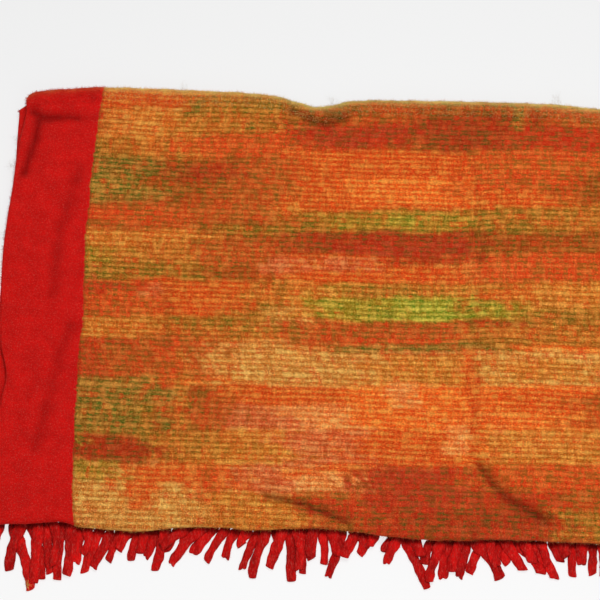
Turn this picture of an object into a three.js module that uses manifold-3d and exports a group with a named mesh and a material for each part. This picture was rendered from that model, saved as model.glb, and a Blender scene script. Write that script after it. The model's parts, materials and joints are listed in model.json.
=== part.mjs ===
// Wool blanket, folded in half twice and lying flat: a space-dyed striped body, plain red side
// borders, and a fringe of felted locks along both woven ends.
// Millimetres. +X runs across the width of the cloth, +Y from the fringe side to the back fold,
// +Z up. The underside of the bottom layer lies on z = 0.

import * as THREE from 'three';
import Module from 'manifold-3d';

const wasm = await Module();
wasm.setup();

// Cloth as it lies folded.
const CLOTH_WIDTH = 1090;
const SHEET = 3.0;
const LAYER_PITCH = 4.2;
const TOP_LIFT = 2.5;
const BACK_NOSE = 9.0;
const FRONT_NOSE = 6.0;
const INNER_NOSE = 2.1;
const INNER_SETBACK = 5.0;
const FRONT_PUFF = 1.6;

// Fringe: a narrow strip at each woven end carries the locks.
const STRIP_WIDTH = 8.0;
const STRIP_PART = 0.35;
const END_SETBACK = 12.5;
const LOCK_WIDTH = 8.9;
const LOCK_THICK = 4.6;
const LOCK_CLEAR = 0.6;
const LOCK_PITCH = 10.6;

// Mid heights of the four layers, bottom to top.
const Z_BOTTOM = SHEET / 2;
const Z_THIRD = Z_BOTTOM + LAYER_PITCH;
const Z_SECOND = Z_THIRD + LAYER_PITCH;
const Z_TOP = Z_SECOND + LAYER_PITCH;

// Where the back fold reaches, place by place along the width, with the dent near the middle.
const BACK_FOLD = [
  { x: -10, y: 512 }, { x: 2, y: 514 }, { x: 40, y: 521 }, { x: 93, y: 526 },
  { x: 209, y: 526 }, { x: 270, y: 525 }, { x: 306, y: 521 }, { x: 330, y: 515 },
  { x: 347, y: 510 }, { x: 367, y: 512 }, { x: 393, y: 519 }, { x: 451, y: 522 },
  { x: 571, y: 524 }, { x: 643, y: 524 }, { x: 691, y: 520 }, { x: 760, y: 523 },
  { x: 850, y: 525 }, { x: 930, y: 521 }, { x: 1010, y: 524 }, { x: 1095, y: 519 },
];

// Where the front fold reaches.
const FRONT_FOLD = [
  { x: -10, y: -8 }, { x: 20, y: -8 }, { x: 53, y: -6 }, { x: 84, y: -3 },
  { x: 114, y: -8 }, { x: 180, y: -10 }, { x: 200, y: -6 }, { x: 257, y: -2 },
  { x: 295, y: -4 }, { x: 350, y: 0 }, { x: 394, y: 0 }, { x: 460, y: -6 },
  { x: 515, y: -7 }, { x: 570, y: -4 }, { x: 680, y: -4 }, { x: 780, y: -1 },
  { x: 870, y: -5 }, { x: 960, y: -8 }, { x: 1040, y: -4 }, { x: 1095, y: -6 },
];

// Selvedges along the cloth, from the bottom woven end (0) over the back fold (1), the front
// fold (2) and the inner back fold (3) to the other woven end (4).
const LEFT_EDGE = [
  { v: 0.0, x: -4 }, { v: 0.25, x: -7 }, { v: 0.5, x: -8 }, { v: 0.8, x: -2 },
  { v: 1.0, x: 3 }, { v: 1.05, x: 3 }, { v: 1.1, x: -1 }, { v: 1.2, x: -3 },
  { v: 1.35, x: -7 }, { v: 1.5, x: -4 }, { v: 1.6, x: 1 }, { v: 1.68, x: 11 },
  { v: 1.74, x: 8 }, { v: 1.85, x: 5 }, { v: 2.0, x: 6 }, { v: 2.2, x: -2 },
  { v: 2.6, x: -7 }, { v: 2.85, x: -4 }, { v: 2.96, x: -6 }, { v: 3.0, x: -6 },
  { v: 3.06, x: -3 }, { v: 3.3, x: -4 }, { v: 3.6, x: -8 }, { v: 4.0, x: -3 },
];
const RIGHT_EDGE = [
  { v: 0.0, x: -3 }, { v: 0.4, x: 2 }, { v: 0.8, x: -2 }, { v: 1.0, x: -4 },
  { v: 1.3, x: 0 }, { v: 1.6, x: -3 }, { v: 2.0, x: -5 }, { v: 2.4, x: 3 },
  { v: 2.8, x: 1 }, { v: 3.0, x: -2 }, { v: 3.5, x: 4 }, { v: 4.0, x: 0 },
];

// Creases and swells of the top layer: rise in mm (troughs are negative), reach is how wide
// each one spreads from its line.
const CREASES = [
  { line: [[5, 495], [18, 486], [33, 481], [47, 481], [69, 483]], rise: -2.0, reach: 7 },
  { line: [[4, 505], [40, 507], [90, 511]], rise: 1.8, reach: 9 },
  { line: [[90, 511], [200, 511], [300, 507]], rise: 0.8, reach: 10 },
  { line: [[400, 507], [560, 510], [760, 508], [1000, 509]], rise: 0.9, reach: 10 },
  { line: [[18, 487], [16, 460], [12, 431], [9, 399]], rise: -1.6, reach: 5 },
  { line: [[5, 470], [2, 420], [-2, 350]], rise: 1.2, reach: 5 },
  { line: [[74, 418], [67, 389], [57, 338], [54, 261]], rise: -0.9, reach: 8 },
  { line: [[78, 223], [68, 181], [61, 134], [51, 79]], rise: -0.9, reach: 8 },
  { line: [[322, 502], [346, 490], [361, 486], [383, 495]], rise: -2.2, reach: 8 },
  { line: [[335, 474], [358, 470], [384, 476]], rise: 1.0, reach: 9 },
  { line: [[529, 469], [532, 419], [535, 349], [539, 247], [542, 152], [548, 72]], rise: 1.3, reach: 8 },
  { line: [[318, 28], [349, 27], [372, 21], [405, 8]], rise: -1.9, reach: 7 },
  { line: [[548, 78], [564, 56], [581, 40], [603, 29], [621, 19]], rise: -2.4, reach: 8 },
  { line: [[240, 60], [300, 74], [360, 70], [385, 62]], rise: 2.2, reach: 26 },
  { line: [[470, 30], [520, 34], [548, 40]], rise: 1.6, reach: 20 },
  { line: [[615, 62], [660, 52], [720, 58]], rise: 1.5, reach: 24 },
  { line: [[189, 203], [189, 264]], rise: -0.6, reach: 7 },
  { line: [[760, 470], [772, 380], [769, 270], [776, 190]], rise: -0.9, reach: 12 },
  { line: [[840, 30], [880, 44], [930, 40]], rise: 1.9, reach: 24 },
  { line: [[905, 12], [925, 24], [950, 52]], rise: -1.8, reach: 8 },
  { line: [[1006, 452], [1014, 360], [1020, 250], [1016, 120]], rise: -0.9, reach: 9 },
  { line: [[1030, 482], [1058, 480], [1082, 490]], rise: -1.5, reach: 8 },
];

// Visible locks in clumps, left to right: where the roots start and end along the fold, where
// the tips lie, how far they reach from the fold by turns, and how many locks the clump has.
const CLUMPS = [
  { root: [8, 18], tip: [9, 20], reach: [50, 46], locks: 2 },
  { root: [28, 28], tip: [31, 31], reach: [51, 51], locks: 1 },
  { root: [37, 58], tip: [54, 69], reach: [67, 64], locks: 3 },
  { root: [68, 78], tip: [76, 84], reach: [53, 44], locks: 2 },
  { root: [88, 110], tip: [90, 104], reach: [60, 43], locks: 4 },
  { root: [120, 140], tip: [110, 125], reach: [36, 50], locks: 3 },
  { root: [150, 163], tip: [136, 145], reach: [31, 40], locks: 2 },
  { root: [172, 181], tip: [160, 170], reach: [34, 37], locks: 2 },
  { root: [193, 208], tip: [180, 191], reach: [33, 46], locks: 2 },
  { root: [232, 254], tip: [206, 231], reach: [27, 40], locks: 3 },
  { root: [264, 286], tip: [246, 282], reach: [37, 30], locks: 3 },
  { root: [297, 307], tip: [287, 299], reach: [41, 50], locks: 2 },
  { root: [322, 322], tip: [315, 315], reach: [40, 40], locks: 1 },
  { root: [333, 355], tip: [337, 349], reach: [52, 33], locks: 3 },
  { root: [365, 374], tip: [356, 366], reach: [27, 33], locks: 2 },
  { root: [384, 397], tip: [374, 387], reach: [47, 35], locks: 3 },
  { root: [407, 434], tip: [396, 432], reach: [25, 20], locks: 4 },
  { root: [457, 466], tip: [448, 458], reach: [31, 22], locks: 2 },
  { root: [475, 485], tip: [486, 494], reach: [51, 25], locks: 2 },
  { root: [499, 524], tip: [498, 518], reach: [45, 35], locks: 4 },
  { root: [534, 542], tip: [528, 541], reach: [39, 35], locks: 2 },
  { root: [550, 557], tip: [572, 555], reach: [38, 17], locks: 2 },
  { root: [569, 580], tip: [568, 586], reach: [31, 25], locks: 2 },
  { root: [590, 606], tip: [599, 620], reach: [31, 33], locks: 3 },
  { root: [614, 624], tip: [630, 637], reach: [29, 37], locks: 2 },
  { root: [638, 648], tip: [640, 652], reach: [32, 22], locks: 2 },
  { root: [659, 659], tip: [660, 660], reach: [34, 34], locks: 1 },
  { root: [671, 681], tip: [672, 682], reach: [33, 31], locks: 2 },
];
const FAR_LOCKS_FROM = 692;
const FAR_LOCKS_TO = 1082;

// Repeatable unevenness between 0 and 1.
function chance(seed) {
  const wave = Math.sin(seed * 12.9898 + 4.1414) * 43758.5453;
  return wave - Math.floor(wave);
}

function mix(a, b, t) {
  return a + (b - a) * t;
}

// Smooth curve through the rows of a table.
function follow(rows, key, value, at) {
  const last = rows.length - 1;
  if (at <= rows[0][key]) return rows[0][value];
  if (at >= rows[last][key]) return rows[last][value];
  let i = 0;
  while (rows[i + 1][key] < at) i += 1;
  const p = rows[i];
  const q = rows[i + 1];
  const span = q[key] - p[key];
  const t = (at - p[key]) / span;
  const before = rows[Math.max(i - 1, 0)];
  const after = rows[Math.min(i + 2, last)];
  const slopeP = (q[value] - before[value]) / (q[key] - before[key]);
  const slopeQ = (after[value] - p[value]) / (after[key] - p[key]);
  const t2 = t * t;
  const t3 = t2 * t;
  return p[value] * (2 * t3 - 3 * t2 + 1) + q[value] * (3 * t2 - 2 * t3)
    + span * (slopeP * (t3 - 2 * t2 + t) + slopeQ * (t3 - t2));
}

function backReach(x) {
  return follow(BACK_FOLD, 'x', 'y', x);
}

function frontReach(x) {
  return follow(FRONT_FOLD, 'x', 'y', x);
}

function distanceToLine(x, y, line) {
  let best = 1e9;
  for (let i = 0; i + 1 < line.length; i += 1) {
    const [ax, ay] = line[i];
    const [bx, by] = line[i + 1];
    const along = (x - ax) * (bx - ax) + (y - ay) * (by - ay);
    const t = Math.min(1, Math.max(0, along / ((bx - ax) ** 2 + (by - ay) ** 2)));
    best = Math.min(best, Math.hypot(x - mix(ax, bx, t), y - mix(ay, by, t)));
  }
  return best;
}

// How far the top layer rises over the pressed pile.
function topRelief(x, y) {
  let rise = TOP_LIFT;
  rise += 0.55 * Math.sin(x * 0.0121 + y * 0.0173 + 0.6);
  rise += 0.35 * Math.sin(x * 0.0317 - y * 0.0219 + 2.1);
  rise += FRONT_PUFF * Math.exp(-(((y - 14) / 26) ** 2));
  for (const crease of CREASES) {
    const away = distanceToLine(x, y, crease.line) / crease.reach;
    rise += crease.rise * Math.exp(-away * away);
  }
  return Math.max(rise, 0.2);
}

// Where the two woven ends lie under the front fold.
function bottomEnd(x) {
  return frontReach(x) + END_SETBACK + 0.8 * Math.sin(x * 0.02);
}

function thirdEnd(x) {
  return frontReach(x) + END_SETBACK + 1.5 + 0.8 * Math.sin(x * 0.023 + 1.7);
}

function selvedgePlace(v, s) {
  const left = follow(LEFT_EDGE, 'v', 'x', v);
  const right = CLOTH_WIDTH + follow(RIGHT_EDGE, 'v', 'x', v);
  return mix(left, right, s);
}

// Stops along the section of the folded cloth.
const TOP_ROWS = [
  0, 0.015, 0.033, 0.052, 0.075, 0.12, 0.2, 0.32, 0.46, 0.58, 0.66, 0.735, 0.795, 0.848, 0.892,
  0.928, 0.958, 0.983, 1,
];
const HIDDEN_ROWS = [0, 0.35, 0.75, 1];
const TURN_ROWS = [1 / 6, 2 / 6, 3 / 6, 4 / 6, 5 / 6];
const SMALL_TURN_ROWS = [0.25, 0.5, 0.75];

const section = [];
for (const f of HIDDEN_ROWS) section.push({ part: 'bottom', f, v: f });
for (const f of TURN_ROWS) section.push({ part: 'back_turn', f, v: 1 });
for (const f of TOP_ROWS) section.push({ part: 'top', f, v: 1 + f });
for (const f of TURN_ROWS) section.push({ part: 'front_turn', f, v: 2 });
for (const f of HIDDEN_ROWS) section.push({ part: 'second', f, v: 2 + f });
for (const f of SMALL_TURN_ROWS) section.push({ part: 'inner_turn', f, v: 3 });
for (const f of HIDDEN_ROWS) section.push({ part: 'third', f, v: 3 + f });

// Places across the width, closer together where the creases are.
const ACROSS = [
  0, 6, 13, 22, 36, 52, 66, 82, 110, 150, 189, 225, 262, 300, 324, 342, 358, 376, 400, 435,
  480, 520, 534, 546, 562, 580, 600, 622, 655, 700, 755, 815, 870, 915, 965, 1015, 1055, 1078,
  1090,
];

// Middle of the cloth at one stop of the section and one place across.
function clothPoint(stop, s) {
  const x = selvedgePlace(stop.v, s);
  const backHeart = backReach(x) - SHEET / 2 - BACK_NOSE;
  const frontHeart = frontReach(x) + SHEET / 2 + FRONT_NOSE;
  const innerHeart = backReach(x) - SHEET - INNER_SETBACK - SHEET / 2 - INNER_NOSE;
  const turn = Math.PI * (stop.f - 0.5);
  if (stop.part === 'bottom') {
    return [x, mix(bottomEnd(x), backHeart, stop.f), Z_BOTTOM];
  }
  if (stop.part === 'back_turn') {
    const high = Z_TOP + topRelief(x, backHeart);
    const z = mix(Z_BOTTOM, high, 0.5 + 0.5 * Math.sin(turn));
    return [x, backHeart + BACK_NOSE * Math.cos(turn), z];
  }
  if (stop.part === 'top') {
    const y = mix(backHeart, frontHeart, stop.f);
    return [x, y, Z_TOP + topRelief(x, y)];
  }
  if (stop.part === 'front_turn') {
    const high = Z_TOP + topRelief(x, frontHeart);
    const z = mix(high, Z_SECOND, 0.5 + 0.5 * Math.sin(turn));
    return [x, frontHeart - FRONT_NOSE * Math.cos(turn), z];
  }
  if (stop.part === 'second') {
    return [x, mix(frontHeart, innerHeart, stop.f), Z_SECOND];
  }
  if (stop.part === 'inner_turn') {
    const z = mix(Z_SECOND, Z_THIRD, 0.5 + 0.5 * Math.sin(turn));
    return [x, innerHeart + INNER_NOSE * Math.cos(turn), z];
  }
  return [x, mix(innerHeart, thirdEnd(x), stop.f), Z_THIRD];
}

function minus(a, b) {
  return [a[0] - b[0], a[1] - b[1], a[2] - b[2]];
}

function unit(a) {
  const size = Math.hypot(a[0], a[1], a[2]);
  return [a[0] / size, a[1] / size, a[2] / size];
}

function cross(a, b) {
  return [a[1] * b[2] - a[2] * b[1], a[2] * b[0] - a[0] * b[2], a[0] * b[1] - a[1] * b[0]];
}

// Closed solid from a surface given as rows of points, thickened to both sides.
function thickSheet(middle, thickness) {
  const rows = middle.length;
  const columns = middle[0].length;
  const half = thickness / 2;
  const positions = [];
  const outer = [];
  const inner = [];
  for (let i = 0; i < rows; i += 1) {
    outer.push([]);
    inner.push([]);
    for (let j = 0; j < columns; j += 1) {
      const p = middle[i][j];
      const ahead = middle[Math.min(i + 1, rows - 1)][j];
      const behind = middle[Math.max(i - 1, 0)][j];
      const rightward = middle[i][Math.min(j + 1, columns - 1)];
      const leftward = middle[i][Math.max(j - 1, 0)];
      const forward = i === 0 || i === rows - 1
        ? unit(minus(ahead, behind))
        : unit(minus(unit(minus(ahead, p)), unit(minus(behind, p))));
      const n = unit(cross(forward, unit(minus(rightward, leftward))));
      outer[i].push(positions.length / 3);
      positions.push(p[0] + n[0] * half, p[1] + n[1] * half, p[2] + n[2] * half);
      inner[i].push(positions.length / 3);
      positions.push(p[0] - n[0] * half, p[1] - n[1] * half, p[2] - n[2] * half);
    }
  }
  const faces = [];
  const quad = (a, b, c, d) => faces.push(a, b, c, a, c, d);
  for (let i = 0; i + 1 < rows; i += 1) {
    for (let j = 0; j + 1 < columns; j += 1) {
      quad(outer[i][j], outer[i + 1][j], outer[i + 1][j + 1], outer[i][j + 1]);
      quad(inner[i][j], inner[i][j + 1], inner[i + 1][j + 1], inner[i + 1][j]);
    }
  }
  const end = rows - 1;
  const side = columns - 1;
  for (let j = 0; j < side; j += 1) {
    quad(outer[0][j], outer[0][j + 1], inner[0][j + 1], inner[0][j]);
    quad(outer[end][j + 1], outer[end][j], inner[end][j], inner[end][j + 1]);
  }
  for (let i = 0; i < end; i += 1) {
    quad(outer[i + 1][0], outer[i][0], inner[i][0], inner[i + 1][0]);
    quad(outer[i][side], outer[i + 1][side], inner[i + 1][side], inner[i][side]);
  }
  return { positions, faces };
}

// Closed solid from a row of four-cornered rings.
function ringSolid(rings) {
  const positions = [];
  const faces = [];
  for (const ring of rings) {
    for (const corner of ring) positions.push(...corner);
  }
  const last = (rings.length - 1) * 4;
  for (let k = 0; k + 1 < rings.length; k += 1) {
    for (let c = 0; c < 4; c += 1) {
      const a = k * 4 + c;
      const b = k * 4 + ((c + 1) % 4);
      faces.push(a, b, b + 4, a, b + 4, a + 4);
    }
  }
  faces.push(0, 2, 1, 0, 3, 2);
  faces.push(last, last + 1, last + 2, last, last + 2, last + 3);
  return { positions, faces };
}

function toBody(shape) {
  return new wasm.Manifold(new wasm.Mesh({
    numProp: 3,
    vertProperties: new Float32Array(shape.positions),
    triVerts: new Uint32Array(shape.faces),
  }));
}

// Backing strip in front of one woven end.
function backingStrip(v, endPlace, low) {
  const rings = ACROSS.map((across) => {
    const x = selvedgePlace(v, across / CLOTH_WIDTH);
    const y = endPlace(x) - STRIP_PART;
    return [
      [x, y, low],
      [x, y, low + SHEET],
      [x, y - STRIP_WIDTH, low + SHEET],
      [x, y - STRIP_WIDTH, low],
    ];
  });
  return toBody(ringSolid(rings));
}

// All locks, left to right, with the clumps first and an even spread after them.
const locks = [];
for (const clump of CLUMPS) {
  for (let k = 0; k < clump.locks; k += 1) {
    const t = clump.locks > 1 ? k / (clump.locks - 1) : 0;
    locks.push({
      root: mix(clump.root[0], clump.root[1], t),
      tip: mix(clump.tip[0], clump.tip[1], t),
      reach: clump.reach[k % 2],
    });
  }
}
const farCount = Math.round((FAR_LOCKS_TO - FAR_LOCKS_FROM) / LOCK_PITCH) + 1;
for (let k = 0; k < farCount; k += 1) {
  const root = mix(FAR_LOCKS_FROM, FAR_LOCKS_TO, k / (farCount - 1));
  const sway = 11 * Math.sin(root * 0.031 + 1.2) + 5 * (chance(k + 31) - 0.5);
  locks.push({ root, tip: root + sway, reach: 26 + 30 * chance(k + 77) });
}

// Heights already taken on the table in front of the fold, in half-millimetre cells.
const BED = { x0: -30, y0: -95, step: 0.5, columns: 2320, rows: 260 };
const bed = new Float32Array(BED.columns * BED.rows);

function eachCell(x, y, dx, dy, halfWidth, visit) {
  const count = Math.ceil((2 * halfWidth) / 0.35);
  for (let k = 0; k <= count; k += 1) {
    const side = mix(-halfWidth, halfWidth, k / count);
    const column = Math.round((x - dy * side - BED.x0) / BED.step);
    const row = Math.round((y + dx * side - BED.y0) / BED.step);
    visit(row * BED.columns + column);
  }
}

// One lock: a flat ribbon that leaves its strip, comes out under the fold and lies down over
// whatever is already there.
function layLock(lock, index) {
  const upper = index % 2 === 1;
  const endPlace = upper ? thirdEnd : bottomEnd;
  const low = upper ? Z_THIRD - SHEET / 2 : 0;
  const fold = frontReach(lock.root);
  const stripFront = endPlace(lock.root) - STRIP_PART - STRIP_WIDTH;
  const lengthOut = lock.reach + fold - 3;
  const wiggle = 1.3 * (chance(index + 5) - 0.5);
  const width = LOCK_WIDTH + 1.0 * (chance(index + 211) - 0.5);
  const place = (q) => {
    if (q < 0) return [lock.root, mix(fold, stripFront + 3, -q)];
    const lean = (lock.tip - lock.root) * (1 - (1 - q) ** 1.35);
    return [
      lock.root + lean + wiggle * Math.sin(q * 4.4 + index),
      fold - lengthOut * q,
    ];
  };
  const stops = [
    { q: -1, width: 0.62, thick: 0.5 },
    { q: -0.12, width: 0.72, thick: 0.52 },
    { q: 0.3, width: 1.0, thick: 0.98 },
    { q: 0.84, width: 0.97, thick: 0.95 },
    { q: 1, width: 0.62, thick: 0.72 },
  ];
  const heading = (q) => {
    const a = place(Math.max(q - 0.04, -1));
    const b = place(Math.min(q + 0.04, 1));
    const size = Math.hypot(b[0] - a[0], b[1] - a[1]);
    return [(b[0] - a[0]) / size, (b[1] - a[1]) / size];
  };
  const between = (q, key) => {
    let i = 0;
    while (i + 2 < stops.length && stops[i + 1].q < q) i += 1;
    const t = (q - stops[i].q) / (stops[i + 1].q - stops[i].q);
    return mix(stops[i][key], stops[i + 1][key], Math.min(1, Math.max(0, t)));
  };
  const under = (from, to) => {
    let need = 0;
    const count = Math.max(3, Math.ceil((Math.abs(to - from) * lengthOut) / 0.4));
    for (let k = 0; k <= count; k += 1) {
      const q = mix(from, to, k / count);
      const [x, y] = place(q);
      const [dx, dy] = heading(q);
      const reach = (between(q, 'width') * width) / 2 + LOCK_CLEAR;
      eachCell(x, y, dx, dy, reach, (cell) => {
        if (bed[cell] > 0) need = Math.max(need, bed[cell] + LOCK_CLEAR);
      });
    }
    return need;
  };
  const heights = stops.map((stop, k) => {
    if (k === 0) return low + 0.3;
    if (k === 1) return upper ? low + 0.25 : 0.1;
    const from = stops[k - 1].q;
    const to = stops[Math.min(k + 1, stops.length - 1)].q;
    return under(Math.max(from, 0), to);
  });
  if (upper) heights[2] = Math.max(heights[2], 0.6);
  const rings = stops.map((stop, k) => {
    const [x, y] = place(stop.q);
    const [dx, dy] = heading(stop.q);
    const half = (stop.width * width) / 2;
    const thick = k < 2 ? 2.3 : stop.thick * LOCK_THICK;
    const bottom = heights[k];
    const top = bottom + thick;
    const crown = half * 0.72;
    return [
      [x + dy * half, y - dx * half, bottom],
      [x - dy * half, y + dx * half, bottom],
      [x - dy * crown, y + dx * crown, top],
      [x + dy * crown, y - dx * crown, top],
    ];
  });
  for (let k = 1; k + 1 < stops.length; k += 1) {
    const count = Math.ceil(((stops[k + 1].q - stops[k].q) * lengthOut) / 0.35) + 2;
    for (let m = 0; m <= count; m += 1) {
      const q = mix(stops[k].q, stops[k + 1].q, m / count);
      if (q < 0) continue;
      const [x, y] = place(q);
      const [dx, dy] = heading(q);
      const bottom = mix(heights[k], heights[k + 1], m / count);
      const top = bottom + between(q, 'thick') * LOCK_THICK;
      eachCell(x, y, dx, dy, (between(q, 'width') * width) / 2, (cell) => {
        bed[cell] = Math.max(bed[cell], top);
      });
    }
  }
  return toBody(ringSolid(rings));
}

const lockBodies = { even: [], odd: [] };
for (const parity of [0, 1]) {
  locks.forEach((lock, index) => {
    if (index % 2 !== parity) return;
    const body = layLock(lock, index);
    if (parity === 0) lockBodies.even.push(body);
    else lockBodies.odd.push(body);
  });
}

function toGeometry(shape) {
  const geometry = new THREE.BufferGeometry();
  geometry.setAttribute('position', new THREE.Float32BufferAttribute(shape.positions, 3));
  geometry.setIndex(Array.from(shape.faces));
  return geometry;
}

function bodyGeometry(body) {
  const mesh = body.getMesh();
  return toGeometry({ positions: mesh.vertProperties, faces: mesh.triVerts });
}

function joined(strip, bodies) {
  let whole = strip;
  for (const body of bodies) whole = whole.add(body);
  return whole;
}

const clothMiddle = section.map((stop) => ACROSS.map((across) => (
  clothPoint(stop, across / CLOTH_WIDTH)
)));
const lowerStrip = backingStrip(0, bottomEnd, 0);
const upperStrip = backingStrip(4, thirdEnd, Z_THIRD - SHEET / 2);

const shapes = {
  blanket_cloth: toGeometry(thickSheet(clothMiddle, SHEET)),
  fringe_lower: bodyGeometry(joined(lowerStrip, lockBodies.even)),
  fringe_upper: bodyGeometry(joined(upperStrip, lockBodies.odd)),
};
const looks = {
  blanket_cloth: { color: 0xb9562a, roughness: 0.95, metalness: 0 },
  fringe_lower: { color: 0xa8161a, roughness: 0.97, metalness: 0 },
  fringe_upper: { color: 0xb4181b, roughness: 0.97, metalness: 0 },
};

// The origin is the middle of the footprint, on the underside.
const box = new THREE.Box3();
for (const geometry of Object.values(shapes)) {
  geometry.computeBoundingBox();
  box.union(geometry.boundingBox);
}
const middleX = (box.min.x + box.max.x) / 2;
const middleY = (box.min.y + box.max.y) / 2;

const group = new THREE.Group();
group.name = 'folded_wool_blanket';
for (const [name, geometry] of Object.entries(shapes)) {
  geometry.translate(-middleX, -middleY, -box.min.z);
  geometry.computeVertexNormals();
  const mesh = new THREE.Mesh(geometry, new THREE.MeshStandardMaterial(looks[name]));
  mesh.name = name;
  group.add(mesh);
}

export default group;
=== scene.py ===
# %% [markdown]
# A wool blanket, folded in half twice and lying flat. The real one is a single hand-loomed
# length: a body of space-dyed weft rows, a plain crimson border down each side, and a fringe of
# felted locks along both woven ends. Four layers lie on each other, and both fringes come out
# together under the front fold. The lesson builds the cloth on its folds first, then the fringe,
# then the loose fibres, and gives each of them its wool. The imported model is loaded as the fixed
# frame for all of it.

# %% Load the frame
import json
import math

import bmesh
import bpy
import numpy as np
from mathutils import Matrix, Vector

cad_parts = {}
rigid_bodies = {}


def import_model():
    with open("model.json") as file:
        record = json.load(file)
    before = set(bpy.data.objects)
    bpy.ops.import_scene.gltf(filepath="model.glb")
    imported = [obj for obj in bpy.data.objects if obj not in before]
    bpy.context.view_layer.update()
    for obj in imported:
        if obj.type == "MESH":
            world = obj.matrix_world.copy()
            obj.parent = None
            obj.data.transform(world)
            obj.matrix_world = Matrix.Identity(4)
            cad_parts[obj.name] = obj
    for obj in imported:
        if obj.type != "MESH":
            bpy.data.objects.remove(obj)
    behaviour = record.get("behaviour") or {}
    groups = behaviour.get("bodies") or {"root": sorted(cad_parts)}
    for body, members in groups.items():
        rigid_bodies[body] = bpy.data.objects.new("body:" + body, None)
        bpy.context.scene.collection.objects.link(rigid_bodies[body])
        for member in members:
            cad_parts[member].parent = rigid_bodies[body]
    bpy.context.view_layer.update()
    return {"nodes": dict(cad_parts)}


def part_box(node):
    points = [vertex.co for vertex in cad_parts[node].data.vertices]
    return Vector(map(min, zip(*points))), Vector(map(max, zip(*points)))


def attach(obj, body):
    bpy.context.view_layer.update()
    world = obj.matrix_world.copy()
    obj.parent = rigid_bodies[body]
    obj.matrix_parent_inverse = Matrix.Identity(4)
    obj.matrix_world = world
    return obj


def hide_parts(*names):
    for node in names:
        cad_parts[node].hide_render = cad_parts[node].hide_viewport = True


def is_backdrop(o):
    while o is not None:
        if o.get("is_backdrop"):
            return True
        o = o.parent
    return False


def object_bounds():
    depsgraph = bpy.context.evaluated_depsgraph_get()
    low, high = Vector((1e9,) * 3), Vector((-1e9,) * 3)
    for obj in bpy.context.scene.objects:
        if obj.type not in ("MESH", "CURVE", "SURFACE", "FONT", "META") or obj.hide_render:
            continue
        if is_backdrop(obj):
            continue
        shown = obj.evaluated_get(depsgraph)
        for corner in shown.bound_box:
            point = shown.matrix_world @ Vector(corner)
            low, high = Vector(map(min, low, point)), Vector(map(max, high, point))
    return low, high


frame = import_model()
print("nodes of the frame:", len(frame["nodes"]))

# %% [markdown]
# Cloth is measured by the people who weave it in millimetres, so the tables below are in
# millimetres too. X runs across the width from the left selvedge, Y from the front fold to the
# back fold, and Z up from the table. One function turns such a place into the frame's metres.

# %% Sizes of the folded cloth
# A nose is how far a fold reaches past its layers, a setback how far an inner edge lies behind.
MM = 0.001
CLOTH_WIDTH = 1090.0
SHEET = 3.0
LAYER_PITCH = 4.2
TOP_LIFT = 2.5
BACK_NOSE = 9.0
FRONT_NOSE = 6.0
INNER_NOSE = 2.1
INNER_SETBACK = 5.0
FRONT_PUFF = 1.6
END_SETBACK = 12.5
Z_BOTTOM = SHEET / 2
Z_THIRD = Z_BOTTOM + LAYER_PITCH
Z_SECOND = Z_THIRD + LAYER_PITCH
Z_TOP = Z_SECOND + LAYER_PITCH
print("four layers, the top one at", round(Z_TOP, 1), "mm")

# %% [markdown]
# The outline of the pile is never a rectangle. The folds swing in and out where the cloth was let
# go, and at the left edge the layers part. Each edge is a short table of places that a smooth
# curve runs through, read from the photograph and written in real sizes.

# %% Outline: folds, selvedges and border
# Back fold and front fold: place across, reach.
BACK_FOLD = [
    (-10, 500), (1, 507), (6, 513), (14, 517), (40, 521), (93, 526), (209, 526), (270, 525),
    (306, 521), (330, 515), (347, 510), (367, 512), (393, 519), (451, 522), (571, 524), (643, 524),
    (691, 520), (760, 523), (850, 525), (930, 521), (1010, 524), (1095, 519),
]
FRONT_FOLD = [
    (-10, -8), (20, -8), (53, -6), (84, -3), (114, -8), (180, -10), (200, -6), (257, -2),
    (295, -4), (350, 0), (394, 0), (460, -6), (515, -7), (570, -4), (680, -4), (780, -1),
    (870, -5), (960, -8), (1040, -4), (1095, -6),
]

# Selvedges: place along the folded length (a whole number is a fold or a woven end), offset.
LEFT_EDGE = [
    (0.0, -4), (0.25, -7), (0.5, -8), (0.8, -2), (1.0, 3), (1.05, 3), (1.1, -1), (1.2, -3),
    (1.35, -7), (1.5, -4), (1.6, 1), (1.68, 11), (1.74, 8), (1.85, 5), (2.0, 6), (2.2, -2),
    (2.6, -7), (2.85, -4), (2.96, -6), (3.0, -6), (3.06, -3), (3.3, -4), (3.6, -8), (4.0, -3),
]
RIGHT_EDGE = [
    (0.0, -3), (0.4, 2), (0.8, -2), (1.0, -4), (1.3, 0), (1.6, -3), (2.0, -5), (2.4, 3),
    (2.8, 1), (3.0, -2), (3.5, 4), (4.0, 0),
]

# Where the crimson border ends: place between the folds, distance from the left.
BORDER_LINE = [
    (-7, 102), (16, 99), (44, 96), (112, 93), (176, 91), (205, 91), (223, 93), (266, 90),
    (339, 87), (364, 88), (402, 88), (467, 90), (522, 94),
]
FAR_BORDER = 94.0

print(len(BACK_FOLD) + len(FRONT_FOLD), "places on the two folds")

# %% [markdown]
# Creases and swells make a cloth look like cloth. A negative rise is a pressed crease, a positive
# one a soft swell beside it. The long pair at the middle of the width is the mark of an earlier
# fold, and the short ones near the corners come from the hands that folded the blanket.

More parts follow.
